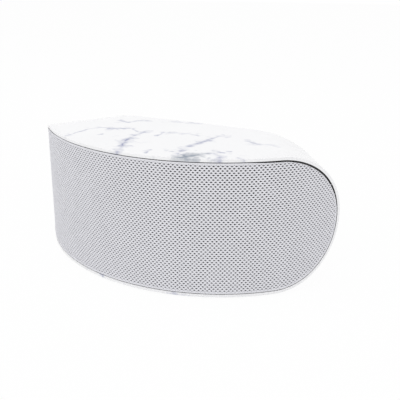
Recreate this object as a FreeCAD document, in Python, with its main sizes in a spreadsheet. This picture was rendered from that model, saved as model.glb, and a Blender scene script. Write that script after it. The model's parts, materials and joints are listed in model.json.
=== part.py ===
"""Portable two-driver speaker: a bulging mesh front set in a printed, pill-shaped sleeve.

Frame: +Z up, front towards -Y, +X to the right, origin under the middle of the box.
Lengths are millimetres. The bodies of revolution are drawn along their own +Z, which then
points out of the grille.
"""
import FreeCAD, Part
import math
import os

import Sketcher
from FreeCAD import Vector

SIZES = (
    # Sleeve: outer pill, its bulging front, its flatter back and the slanted ends
    ("sleeve_width", 200.0),
    ("sleeve_height", 79.0),
    ("sleeve_depth", 80.0),
    ("back_rise", 5.1),
    ("end_depth", 14.0),
    ("end_slant", 32.0),
    ("end_flat", 1.0),
    ("sleeve_wall", 1.6),
    ("fit", 0.2),
    ("cut_margin", 5.0),
    # Feet
    ("foot_height", 1.2),
    ("foot_width", 12.0),
    ("front_foot_length", 34.0),
    ("front_foot_x", 40.0),
    ("front_foot_y", -17.0),
    ("rear_foot_length", 24.0),
    ("rear_foot_x", 22.0),
    ("rear_foot_y", 20.0),
    # Baffle and grille
    ("rim_recess", 0.7),
    ("rim_width", 0.7),
    ("ledge_width", 2.0),
    ("grille_recess", 0.1),
    ("grille_wall", 1.2),
    ("gap_step", 5.2),
    ("gap_pitch", 11.0),
    ("gap_width", 8.6),
    ("gap_height", 9.2),
    ("baffle_setback", 6.0),
    ("baffle_wall", 2.0),
    ("well_wall", 2.0),
    ("well_gap", 1.3),
    ("seat_wall", 2.5),
    ("seat_clearance", 0.5),
    ("lug_width", 7.0),
    ("lug_drop", 7.2),
    ("front_lug_x", 14.0),
    ("front_lug_length", 14.0),
    ("rear_lug_x", 44.0),
    ("rear_lug_length", 16.0),
    # Screws
    ("screw_radius", 1.1),
    ("screw_length", 9.0),
    ("screw_head_radius", 2.4),
    ("screw_head_height", 1.4),
    ("pilot_clearance", 0.15),
    # Loudspeaker units
    ("driver_setback", 14.0),
    ("flange_radius", 28.0),
    ("flange_wall", 1.5),
    ("gasket_wall", 0.5),
    ("gasket_width", 3.4),
    ("driver_screw_circle", 25.2),
    ("driver_screw_length", 4.0),
    ("basket_radius", 22.6),
    ("basket_depth", 12.0),
    ("basket_wall", 1.2),
    ("window_height", 6.4),
    ("window_width", 13.0),
    ("surround_roll", 1.9),
    ("surround_wall", 0.5),
    ("surround_lip", 1.4),
    ("cone_wall", 0.6),
    ("cone_depth", 6.5),
    ("neck_height", 1.0),
    ("coil_radius", 8.2),
    ("coil_wall", 0.6),
    ("coil_length", 11.5),
    ("cap_rise", 2.6),
    ("spider_wall", 0.5),
    ("spider_drop", 3.6),
    ("magnet_radius", 16.0),
    ("magnet_height", 6.0),
    ("plate_radius", 15.4),
    ("plate_height", 3.0),
    ("air_gap", 0.5),
    ("glue_gap", 0.1),
    # Passive radiator
    ("radiator_radius", 19.5),
    ("radiator_lip", 2.6),
    ("radiator_wall", 1.5),
    ("radiator_hole", 16.0),
    ("radiator_weight_radius", 7.0),
    ("radiator_weight_height", 3.0),
    # Rear cover and its control panel
    ("cover_recess", 1.5),
    ("cover_wall", 2.5),
    ("panel_half_length", 37.0),
    ("panel_height", 13.0),
    ("panel_drop", 14.0),
    ("panel_depth", 3.6),
    ("panel_wall", 2.0),
    ("panel_border", 2.0),
    ("button_radius", 3.6),
    ("button_clearance", 0.25),
    ("button_proud", 1.2),
    ("button_flange", 1.0),
    ("button_travel", 0.6),
    ("button_edge", 0.5),
    ("button_brim", 0.5),
    ("button_spacing", 11.0),
    ("first_button_x", -29.0),
    ("light_x", 11.5),
    ("light_radius", 1.0),
    ("usb_x", 20.0),
    ("usb_width", 8.9),
    ("usb_height", 3.2),
    ("usb_depth", 7.3),
    ("usb_wall", 0.35),
    ("usb_tongue_height", 0.7),
    ("usb_tongue_length", 4.6),
    ("jack_x", 31.0),
    ("jack_block", 6.0),
    ("jack_length", 12.0),
    ("jack_bore_radius", 1.8),
    ("jack_collar_radius", 2.8),
    # Main board and battery
    ("board_half_length", 38.0),
    ("board_depth", 30.0),
    ("board_wall", 1.6),
    ("board_edge_gap", 0.3),
    ("port_height", 3.0),
    ("shelf_x", 33.0),
    ("shelf_width", 7.0),
    ("shelf_depth", 26.0),
    ("board_screw_inset", 22.0),
    ("shelf_wall", 3.0),
    ("switch_width", 6.0),
    ("switch_depth", 3.6),
    ("switch_height", 5.5),
    ("module_length", 15.0),
    ("module_depth", 12.0),
    ("module_height", 2.2),
    ("module_x", -10.0),
    ("module_y", 10.0),
    ("chip_length", 7.0),
    ("chip_height", 1.0),
    ("chip_x", 6.0),
    ("chip_y", 10.0),
    ("capacitor_radius", 3.0),
    ("capacitor_height", 9.0),
    ("capacitor_x", 14.0),
    ("capacitor_y", 7.0),
    ("capacitor_spacing", 7.5),
    ("plug_length", 6.0),
    ("plug_depth", 4.5),
    ("plug_height", 5.0),
    ("plug_y", 5.5),
    ("plug_x", 22.0),
    ("battery_radius", 9.2),
    ("battery_length", 65.0),
    ("cell_nub", 1.0),
    ("battery_top_gap", 0.7),
    ("post_length", 1.6),
    ("cradle_clearance", 0.3),
    ("cradle_wall", 1.5),
    ("cradle_length", 52.0),
    ("cradle_post_x", 20.0),
    ("cradle_post_radius", 3.0),
)

FORMULAS = (
    ("front_rise", "sleeve_depth - back_rise - end_depth * cos(end_slant)"),
    ("front_radius", "(sleeve_width ^ 2 / 4 + front_rise ^ 2) / (2 * front_rise)"),
    ("front_axis_y", "front_radius - sleeve_depth / 2"),
    ("end_offset", "cos(end_slant) * sleeve_width / 2 - sin(end_slant) * (front_radius - front_rise)"),
    ("back_half", "sleeve_width / 2 - end_depth * sin(end_slant)"),
    ("back_radius", "(back_half ^ 2 + back_rise ^ 2) / (2 * back_rise)"),
    ("back_axis", "sleeve_depth - back_radius - front_radius"),
    ("end_round", "(sleeve_height - end_flat) / 2"),
    ("mid_height", "foot_height + sleeve_height / 2"),
    ("rim_inset", "sleeve_wall + fit"),
    ("tray_inset", "rim_inset + rim_width"),
    ("lug_z", "sleeve_height / 2 - sleeve_wall - lug_drop"),
    ("seat_radius", "front_radius - driver_setback"),
    ("well_radius", "flange_radius + seat_clearance"),
    ("radiator_well", "radiator_radius + seat_clearance"),
    ("well_spacing", "well_radius + radiator_well + 2 * well_wall + well_gap"),
    ("driver_toe", "2 * asin(well_spacing / (2 * seat_radius)) / 1 deg"),
    ("well_rise", "driver_setback - baffle_setback - baffle_wall / 2"),
    ("flange_face", "gasket_wall + flange_wall"),
    ("plate_face", "gasket_wall - basket_depth - basket_wall"),
    ("magnet_face", "plate_face - plate_height"),
    ("yoke_face", "magnet_face - magnet_height"),
    ("cone_edge", "basket_radius - surround_lip - 2 * surround_roll"),
    ("panel_z", "mid_height - panel_drop"),
    ("panel_face", "sleeve_depth / 2 - cover_recess - panel_depth"),
    ("panel_back", "panel_face - panel_wall"),
    ("button_back", "panel_back - fit - button_flange"),
    ("switch_face", "button_back - button_travel - fit"),
    ("board_top", "panel_z - port_height"),
    ("board_back", "switch_face - board_edge_gap"),
    ("cradle_radius", "battery_radius + cradle_clearance + cradle_wall"),
    ("battery_z", "foot_height + sleeve_height - sleeve_wall - battery_top_gap - cradle_radius"),
    ("pilot_radius", "screw_radius + pilot_clearance"),
    ("board_screw_y", "board_back - board_screw_inset"),
    ("wall_back_radius", "front_radius - baffle_setback - baffle_wall"),
    ("front_lug_face", "front_axis_y - sqrt(wall_back_radius ^ 2 - (front_lug_x + lug_width / 2) ^ 2) + fit"),
    (
        "front_screw_seat",
        "front_axis_y - sqrt((front_radius - baffle_setback) ^ 2 - (front_lug_x - screw_head_radius) ^ 2)",
    ),
    ("cover_axis_y", "front_axis_y + back_axis"),
    ("cover_inner_radius", "back_radius - cover_recess - cover_wall"),
    ("rear_lug_face", "cover_axis_y + sqrt(cover_inner_radius ^ 2 - (rear_lug_x + lug_width / 2) ^ 2) - fit"),
    (
        "rear_screw_seat",
        "cover_axis_y + sqrt((back_radius - cover_recess) ^ 2 - (rear_lug_x + screw_head_radius) ^ 2)"
        " - screw_head_height",
    ),
    ("cover_mid_radius", "cover_inner_radius + cover_wall / 2"),
    ("shelf_back", "cover_axis_y + sqrt(cover_mid_radius ^ 2 - (shelf_x + shelf_width / 2) ^ 2)"),
    ("post_reach", "cradle_post_x + cradle_post_radius"),
    ("post_root", "cover_axis_y + sqrt(cover_mid_radius ^ 2 - post_reach ^ 2)"),
    ("cradle_back", "cover_axis_y + sqrt(cover_inner_radius ^ 2 - post_reach ^ 2) - post_length"),
    ("battery_y", "cradle_back - cradle_radius"),
)

BUTTONS = ("power_button", "volume_down_button", "play_button", "volume_up_button")
SIDES = (("left", -1), ("right", 1))
SPIDER_STEPS = 6

doc = FreeCAD.newDocument("speaker")
sheet = doc.addObject("Spreadsheet::Sheet", "dims")
pieces = []


def fill_sheet():
    """Write the driving sizes and the sizes worked out from them, each under its own alias."""
    cells = [(name, str(value)) for name, value in SIZES]
    cells += [(name, "=" + formula) for name, formula in FORMULAS]
    for row, (name, text) in enumerate(cells, start=1):
        sheet.set(f"A{row}", name)
        sheet.set(f"B{row}", text)
        sheet.setAlias(f"B{row}", name)
    doc.recompute()


def size(expression):
    """Return the number that an expression over the sheet's cells stands for."""
    value = sheet.evalExpression(expression)
    return float(getattr(value, "Value", value))


def piece(item, label):
    """Give a finished sub-part the label that names its file."""
    item.Label = label
    pieces.append(item)
    return item


def new_body(name):
    return doc.addObject("PartDesign::Body", name)


def put(item, x="0", y="0", z="0", turn="0", tip="0"):
    """Bind a placement: a tip about X, then a turn about Z, then a shift."""
    item.setExpression("Placement", f"placement(vector({x}; {y}; {z}); rotation({turn}; 0; {tip}))")
    return item


def put_on_axis(item, turn="0", reach="0", across="0", up="0"):
    """Stand an item's +Z out of the front, at a reach from the front axis and a turn about it."""
    return put(
        item,
        x=f"sin({turn}) * ({reach}) + cos({turn}) * ({across})",
        y=f"dims.front_axis_y - cos({turn}) * ({reach}) + sin({turn}) * ({across})",
        z=f"dims.mid_height + {up}",
        turn=turn,
        tip="90",
    )


def new_sketch(body, name, role="XY_Plane", offset=None):
    """Add a sketch on one of the body's own origin planes, moved along its normal by an offset."""
    sketch = body.newObject("Sketcher::SketchObject", name)
    plane = next(item for item in body.Origin.OriginFeatures if item.Role == role)
    sketch.AttachmentSupport = [(plane, "")]
    sketch.MapMode = "FlatFace"
    if offset:
        sketch.setExpression("AttachmentOffset.Base.z", offset)
    return sketch


def dimension(sketch, kind, references, expression):
    """Add a driving dimension to a sketch and bind it to the sheet."""
    index = sketch.addConstraint(Sketcher.Constraint(kind, *references, size(expression)))
    sketch.setExpression(f"Constraints[{index}]", expression)


def place_point(sketch, item, end, x, y):
    """Hold one point of a sketch at bound distances from the sketch's origin."""
    dimension(sketch, "DistanceX", (-1, 1, item, end), x)
    dimension(sketch, "DistanceY", (-1, 1, item, end), y)


def polygon(sketch, corners):
    """Draw a closed outline of straight lines through corners given as pairs of expressions."""
    points = [Vector(size(x), size(y), 0) for x, y in corners]
    lines = [Part.LineSegment(a, b) for a, b in zip(points, points[1:] + points[:1])]
    items = list(sketch.addGeometry(lines, False))
    for item, following in zip(items, items[1:] + items[:1]):
        sketch.addConstraint(Sketcher.Constraint("Coincident", item, 2, following, 1))
    for item, (x, y) in zip(items, corners):
        place_point(sketch, item, 1, x, y)


def rectangle(sketch, x, y, width, height):
    """Draw an upright rectangle about a middle point."""
    left, right = f"{x} - ({width}) / 2", f"{x} + ({width}) / 2"
    low, high = f"{y} - ({height}) / 2", f"{y} + ({height}) / 2"
    polygon(sketch, [(left, low), (right, low), (right, high), (left, high)])


def circle(sketch, x, y, radius):
    item = sketch.addGeometry(Part.Circle(Vector(size(x), size(y), 0), Vector(0, 0, 1), size(radius)), False)
    place_point(sketch, item, 3, x, y)
    dimension(sketch, "Radius", (item,), radius)


def slot(sketch, x, y, length, width):
    """Draw a level slot with round ends about a middle point."""
    reach = f"(({length}) - ({width})) / 2"
    radius = f"({width}) / 2"
    middle = Vector(size(x), size(y), 0)
    along = Vector(size(reach), 0, 0)
    across = Vector(0, size(radius), 0)
    up = Vector(0, 0, 1)
    shapes = [
        Part.LineSegment(middle - along - across, middle + along - across),
        Part.ArcOfCircle(Part.Circle(middle + along, up, size(radius)), -math.pi / 2, math.pi / 2),
        Part.LineSegment(middle + along + across, middle - along + across),
        Part.ArcOfCircle(Part.Circle(middle - along, up, size(radius)), math.pi / 2, 1.5 * math.pi),
    ]
    items = list(sketch.addGeometry(shapes, False))
    for item, following in zip(items, items[1:] + items[:1]):
        sketch.addConstraint(Sketcher.Constraint("Tangent", item, 2, following, 1))
    place_point(sketch, items[1], 3, f"{x} + {reach}", y)
    place_point(sketch, items[3], 3, f"{x} - {reach}", y)
    dimension(sketch, "Radius", (items[1],), radius)


def pad(body, sketch, length, symmetric=False, back=False):
    """Pad a sketch along its normal, or against it."""
    feature = body.newObject("PartDesign::Pad", sketch.Name + "_pad")
    feature.Profile = sketch
    feature.SideType = "Symmetric" if symmetric else "One side"
    feature.Reversed = back
    feature.setExpression("Length", length)
    return feature


def pocket(body, sketch, length, forward=False):
    """Cut a sketch into the solid: against the sketch's normal, or forward along it."""
    feature = body.newObject("PartDesign::Pocket", sketch.Name + "_pocket")
    feature.Profile = sketch
    feature.Reversed = forward
    feature.setExpression("Length", length)
    return feature


def arc_outline(sketch, corners):
    """Draw a closed outline of lines and arcs.

    Each corner is an X, a Y and the arc to the next corner: its centre's X and Y and its sense,
    1 for counter-clockwise, or None for a straight line.
    """
    points = [Vector(size(x), size(y), 0) for x, y, _ in corners]
    shapes = []
    for (_, _, arc), start, end in zip(corners, points, points[1:] + points[:1]):
        if arc is None:
            shapes.append(Part.LineSegment(start, end))
            continue
        centre = Vector(size(arc[0]), size(arc[1]), 0)
        first, last = ((point - centre) for point in ((start, end) if arc[2] > 0 else (end, start)))
        angles = [math.atan2(ray.y, ray.x) for ray in (first, last)]
        if angles[1] <= angles[0]:
            angles[1] += 2 * math.pi
        shapes.append(Part.ArcOfCircle(Part.Circle(centre, Vector(0, 0, 1), first.Length), *angles))
    items = list(sketch.addGeometry(shapes, False))
    senses = [1 if arc is None else arc[2] for _, _, arc in corners]
    for number, item in enumerate(items):
        following = (number + 1) % len(items)
        end = 2 if senses[number] > 0 else 1
        start = 1 if senses[following] > 0 else 2
        sketch.addConstraint(Sketcher.Constraint("Coincident", item, end, items[following], start))
    for number, (x, y, arc) in enumerate(corners):
        start = 1 if senses[number] > 0 else 2
        ends_arc = corners[number - 1][2] is not None
        if arc is not None:
            place_point(sketch, items[number], 3, arc[0], arc[1])
        if not ends_arc or size(x) == 0:
            dimension(sketch, "DistanceX", (-1, 1, items[number], start), x)
        if not ends_arc or size(x) != 0:
            dimension(sketch, "DistanceY", (-1, 1, items[number], start), y)


def spin(body, sketch):
    """Turn an outline right round the sketch's upright axis."""
    revolution = body.newObject("PartDesign::Revolution", body.Name + "_turn")
    revolution.Profile = sketch
    revolution.ReferenceAxis = (sketch, ["V_Axis"])
    revolution.Angle = 360


def turned(name, outline):
    """Make a body of revolution about its own Z from a closed outline of radius and height pairs."""
    body = new_body(name)
    sketch = new_sketch(body, name + "_outline", "XZ_Plane")
    polygon(sketch, outline)
    spin(body, sketch)
    return body


def ring(name, inner, outer, low, high):
    """Make a plain ring; an inner radius of 0 makes a disc."""
    return turned(name, [(inner, low), (outer, low), (outer, high), (inner, high)])


def cut(base, tool, name):
    feature = doc.addObject("Part::Cut", name)
    feature.Base = base
    feature.Tool = tool
    return feature


def fuse(items, name):
    feature = doc.addObject("Part::MultiFuse", name)
    feature.Shapes = items
    return feature


def cylinder(name, radius, height):
    item = doc.addObject("Part::Cylinder", name)
    item.setExpression("Radius", radius)
    item.setExpression("Height", height)
    return item


def box(name, width, depth, height, x, y, z):
    """Make a box by its middle in X, its back face in Y and its underside in Z."""
    item = doc.addObject("Part::Box", name)
    item.setExpression("Length", width)
    item.setExpression("Width", depth)
    item.setExpression("Height", height)
    return put(item, x=f"{x} - ({width}) / 2", y=f"{y} - ({depth})", z=z)


def front_arc(depth):
    """Describe the arc that lies a depth behind the sleeve's front."""
    return {"axis": "0", "radius": f"dims.front_radius - ({depth})", "side": -1}


def back_arc(depth):
    """Describe the arc that lies a depth inside the sleeve's back."""
    return {"axis": "dims.back_axis", "radius": f"dims.back_radius - ({depth})", "side": 1}


def arc_end_x(arc, inset):
    """Return the X where an arc meets the slanted end, moved in by an inset."""
    off = f"(dims.end_offset - ({inset}) - ({arc['axis']}) * sin(dims.end_slant))"
    chord = f"sqrt(({arc['radius']}) ^ 2 - {off} ^ 2)"
    sign = "-" if arc["side"] > 0 else "+"
    return f"{off} * cos(dims.end_slant) {sign} {chord} * sin(dims.end_slant)"


def sector(sketch, near, far, inset):
    """Draw the plan between two arcs and the slanted ends, about the front axis."""
    arcs = []
    corners = []
    for arc in (near, far):
        half, axis, radius = size(arc_end_x(arc, inset)), size(arc["axis"]), size(arc["radius"])
        rise = arc["side"] * math.sqrt(radius ** 2 - half ** 2)
        right = math.atan2(rise, half)
        left = math.pi - right
        span = (right, left) if arc["side"] > 0 else (left, right + 2 * math.pi)
        arcs.append(Part.ArcOfCircle(Part.Circle(Vector(0, axis, 0), Vector(0, 0, 1), radius), *span))
        corners.append(Vector(half, axis + rise, 0))
    mirrored = [Vector(-corner.x, corner.y, 0) for corner in corners]
    lines = [Part.LineSegment(*corners), Part.LineSegment(*mirrored)]
    items = sketch.addGeometry(arcs + lines, False)
    right_line, left_line = items[2:]
    for line_end, item, arc in ((1, items[0], near), (2, items[1], far)):
        right_end, left_end = (1, 2) if arc["side"] > 0 else (2, 1)
        sketch.addConstraint(Sketcher.Constraint("Coincident", right_line, line_end, item, right_end))
        sketch.addConstraint(Sketcher.Constraint("Coincident", left_line, line_end, item, left_end))
        place_point(sketch, item, 3, "0", arc["axis"])
        dimension(sketch, "Radius", (item,), arc["radius"])
        dimension(sketch, "DistanceX", (-1, 1, item, right_end), arc_end_x(arc, inset))
        dimension(sketch, "DistanceX", (item, left_end, -1, 1), arc_end_x(arc, inset))


def pill(name, near, far, inset):
    """Make a block between two arcs in plan, with the sleeve's rounded ends, moved in by an inset."""
    body = new_body(name)
    sketch = new_sketch(body, name + "_plan")
    sector(sketch, near, far, inset)
    block = pad(body, sketch, f"dims.sleeve_height - 2 * ({inset})", symmetric=True)
    doc.recompute()
    level_edges = [
        f"Edge{number}"
        for number, edge in enumerate(block.Shape.Edges, start=1)
        if isinstance(edge.Curve, Part.Line) and abs(edge.Vertexes[0].Z - edge.Vertexes[1].Z) < 1e-6
    ]
    rounding = body.newObject("PartDesign::Fillet", name + "_ends")
    rounding.Base = (block, level_edges)
    rounding.setExpression("Radius", f"dims.end_round - ({inset})")
    return put(body, y="dims.front_axis_y", z="dims.mid_height")


def hollow_out(body, core):
    """Leave of a pill-shaped block only the wall outside one arc's full circle."""
    doc.recompute()
    sketch = new_sketch(body, body.Name + "_core")
    circle(sketch, "0", core["axis"], core["radius"])
    pocket(body, sketch, "2 * dims.sleeve_height").SideType = "Symmetric"
    return body


def front_wall(name, outer, inner, inset, stop="0"):
    """Make a curved wall between two depths behind the sleeve's front, up to a depth inside its back."""
    return hollow_out(pill(name, front_arc(outer), back_arc(stop), inset), front_arc(inner))


def back_wall(name, outer, inner, inset):
    """Make a curved wall between two depths inside the sleeve's back."""
    return hollow_out(pill(name, front_arc("0"), back_arc(outer), inset), back_arc(inner))


def lug(name, x, z_side, face, length, forward):
    """Make a screw lug that grows from the sleeve's top or floor, drilled from its open face."""
    body = new_body(name)
    half = "dims.lug_width / 2"
    tip = f"{z_side} * dims.lug_z"
    root = f"{z_side} * (dims.sleeve_height - dims.sleeve_wall) / 2"
    sketch = new_sketch(body, name + "_outline", "XZ_Plane", f"-({face})")
    arc_outline(sketch, [
        (f"{x} - {half}", root, None),
        (f"{x} - {half}", tip, (x, tip, z_side)),
        (f"{x} + {half}", tip, None),
        (f"{x} + {half}", root, None),
    ])
    pad(body, sketch, length, back=not forward)
    hole = new_sketch(body, name + "_hole", "XZ_Plane", f"-({face})")
    circle(hole, x, tip, "dims.pilot_radius")
    pocket(body, hole, "dims.screw_length", forward=forward)
    return put(body, z="dims.mid_height")


def screw(name, length="dims.screw_length"):
    """Make a plain pan-head screw that points along its own -Z, with its seat at 0."""
    return turned(name, [
        ("0", f"-({length})"),
        ("dims.screw_radius", f"-({length})"),
        ("dims.screw_radius", "0"),
        ("dims.screw_head_radius", "0"),
        ("dims.screw_head_radius", "dims.screw_head_height"),
        ("0", "dims.screw_head_height"),
    ])


def group(items, label):
    """Gather equal pieces into one sub-part of separate solids."""
    feature = doc.addObject("Part::Compound", label + "_group")
    feature.Links = items
    return piece(feature, label)


def lug_places(x):
    """List the four lug places: a name, the signed X and the sign of Z."""
    return [
        (f"{side}_{level}", f"{sign} * {x}", z_side)
        for side, sign in SIDES
        for level, z_side in (("low", -1), ("high", 1))
    ]


def make_sleeve():
    """Tube of even wall, with its front and back edges on arcs and lugs for both sets of screws."""
    block = pill("sleeve_block", front_arc("0"), back_arc("0"), "0")
    cavity = pill(
        "sleeve_cavity",
        front_arc("-dims.cut_margin"),
        back_arc("-dims.cut_margin"),
        "dims.sleeve_wall",
    )
    tube = cut(block, cavity, "sleeve_tube")
    lugs = []
    for row, forward in (("front", False), ("rear", True)):
        face, length = f"dims.{row}_lug_face", f"dims.{row}_lug_length"
        for place, x, z_side in lug_places(f"dims.{row}_lug_x"):
            lugs.append(lug(f"{row}_lug_{place}", x, z_side, face, length, forward))
    piece(fuse([tube] + lugs, "sleeve_moulding"), "sleeve")


def make_feet():
    """Four rubber pads: a long pair under the bulge and a short pair at the back."""
    for row in ("front", "rear"):
        pads = []
        for side, sign in SIDES:
            body = new_body(f"{row}_{side}_foot")
            sketch = new_sketch(body, f"{row}_{side}_foot_outline")
            length = f"dims.{row}_foot_length"
            slot(sketch, f"{sign} * dims.{row}_foot_x", f"dims.{row}_foot_y", length, "dims.foot_width")
            pad(body, sketch, "dims.foot_height")
            pads.append(body)
        group(pads, row + "_feet")


def well_cylinder(name, radius, turn, low, high):
    """Make a cylinder that points out of the front, between two distances from the front axis."""
    return put_on_axis(cylinder(name, radius, f"({high}) - ({low})"), turn, low)


def driver_turn(sign):
    return f"({sign}) * dims.driver_toe"


def make_baffle():
    """Black tray behind the grille: its rim, a ledge, a curved wall and three flat-bottomed wells."""
    wall_back = "dims.baffle_setback + dims.baffle_wall"
    stop = "dims.cover_recess + dims.cover_wall + dims.fit"
    block = front_wall("baffle_block", "dims.rim_recess", wall_back, "dims.rim_inset", stop)
    ledge = "dims.grille_recess + dims.grille_wall + dims.fit"
    mouth = front_wall("baffle_mouth", "-dims.cut_margin", ledge, "dims.tray_inset")
    tray_inset = "dims.tray_inset + dims.ledge_width"
    tray = front_wall("baffle_tray", "-dims.cut_margin", "dims.baffle_setback", tray_inset)
    wells = [("radiator", "0", "dims.radiator_well", "dims.radiator_hole")]
    for side, sign in SIDES:
        wells.append((side, driver_turn(sign), "dims.well_radius", "dims.basket_radius + dims.fit"))
    cups = []
    cuts = []
    seat_back = "dims.seat_radius - dims.seat_wall"
    for name, turn, radius, hole in wells:
        cup_front = "dims.seat_radius + dims.well_rise"
        cups.append(well_cylinder(name + "_cup", f"{radius} + dims.well_wall", turn, seat_back, cup_front))
        cuts.append(well_cylinder(name + "_well", radius, turn, "dims.seat_radius", "dims.front_radius"))
        hole_back = f"{seat_back} - dims.cut_margin"
        cuts.append(well_cylinder(name + "_hole", hole, turn, hole_back, "dims.front_radius"))
    for side, sign in SIDES:
        for corner, across, up in flange_corners():
            drill = cylinder(f"{side}_pilot_{corner}", "dims.pilot_radius", "2 * dims.cut_margin")
            start = "dims.seat_radius - dims.cut_margin"
            cuts.append(put_on_axis(drill, driver_turn(sign), start, across, up))
    for place, x, z_side in lug_places("dims.front_lug_x"):
        drill = cylinder("baffle_drill_" + place, "dims.pilot_radius", "4 * dims.cut_margin")
        start = "dims.front_lug_face + dims.cut_margin"
        cuts.append(put(drill, x, start, f"dims.mid_height + {z_side} * dims.lug_z", tip="90"))
    shell = cut(block, fuse([mouth, tray], "baffle_openings"), "baffle_shell")
    solid = fuse([shell] + cups, "baffle_solid")
    piece(cut(solid, fuse(cuts, "baffle_cuts"), "baffle_moulding"), "front_baffle")
    screws = []
    for place, x, z_side in lug_places("dims.front_lug_x"):
        z = f"dims.mid_height + {z_side} * dims.lug_z"
        screws.append(put(screw("baffle_screw_" + place), x, "dims.front_screw_seat", z, tip="90"))
    group(screws, "baffle_screws")


def gap_column(body, name, rows, first, count, span):
    """Cut one column of diamond gaps through the mesh wall and repeat it about the front axis."""
    sketch = new_sketch(body, name, "XZ_Plane")
    sketch.AttachmentOffset = FreeCAD.Placement(Vector(), FreeCAD.Rotation(Vector(0, 1, 0), 1))
    sketch.setExpression("AttachmentOffset.Rotation.Angle", f"{first} * dims.gap_step")
    for row in rows:
        z = f"{row} * dims.gap_pitch"
        half, rise = "dims.gap_width / 2", "dims.gap_height / 2"
        polygon(sketch, [
            (f"-{half}", z),
            ("0", f"{z} - {rise}"),
            (half, z),
            ("0", f"{z} + {rise}"),
        ])
    column = pocket(body, sketch, "dims.front_radius + dims.cut_margin", forward=True)
    pattern = body.newObject("PartDesign::PolarPattern", name + "_row")
    pattern.Originals = [column]
    axis = next(item for item in body.Origin.OriginFeatures if item.Role == "Z_Axis")
    pattern.Axis = (axis, [""])
    pattern.setExpression("Angle", f"{span} * dims.gap_step")
    pattern.Occurrences = count
    body.Tip = pattern
    doc.recompute()


def make_grille():
    """Curved mesh wall in the tray, with staggered diamond gaps that thin out to the round ends."""
    back = "dims.grille_recess + dims.grille_wall"
    body = front_wall("grille_wall", "dims.grille_recess", back, "dims.tray_inset + dims.fit")
    doc.recompute()
    gap_column(body, "even_gaps", (-2, -1, 0, 1, 2), -8, 9, 16)
    gap_column(body, "odd_gaps", (-2.5, -1.5, -0.5, 0.5, 1.5, 2.5), -7, 8, 14)
    gap_column(body, "outer_gaps", (-1.5, -0.5, 0.5, 1.5), -9, 2, 18)
    gap_column(body, "end_gaps", (-1, 0, 1), -10, 2, 20)
    gap_column(body, "tip_gaps", (-0.5, 0.5), -11, 2, 22)
    piece(body, "front_grille")


def flange_corners():
    """List the four screw places of a driver's flange: a name and two expressions."""
    reach = "dims.driver_screw_circle / sqrt(2)"
    return [
        (f"{across_name}_{up_name}", f"{across} * {reach}", f"{up} * {reach}")
        for across_name, across in (("inner", -1), ("outer", 1))
        for up_name, up in (("low", -1), ("high", 1))
    ]


def drill_flange(body, name):
    """Cut the four screw holes right through a flange or gasket."""
    sketch = new_sketch(body, name + "_holes")
    for _, across, up in flange_corners():
        circle(sketch, across, up, "dims.pilot_radius")
    pocket(body, sketch, "4 * dims.cut_margin").SideType = "Symmetric"


def roll(name, outer, face):
    """Make a half-roll surround between an outer rim and an inner lip that lies on the cone."""
    body = new_body(name)
    sketch = new_sketch(body, name + "_outline", "XZ_Plane")
    low = f"{face} + dims.glue_gap"
    high = f"{low} + dims.surround_wall"
    middle = f"{outer} - dims.surround_lip - dims.surround_roll"
    crown = "(dims.surround_roll + dims.surround_wall)"
    foot = f"sqrt({crown} ^ 2 - dims.surround_wall ^ 2)"
    inner = f"{middle} - dims.surround_roll - dims.surround_lip"
    arc_outline(sketch, [
        (inner, low, None),
        (f"{middle} - dims.surround_roll", low, (middle, low, -1)),
        (f"{middle} + dims.surround_roll", low, None),
        (outer, low, None),
        (outer, high, None),
        (f"{middle} + {foot}", high, (middle, low, 1)),
        (f"{middle} - {foot}", high, None),
        (inner, high, None),
    ])
    spin(body, sketch)
    return body


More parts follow.
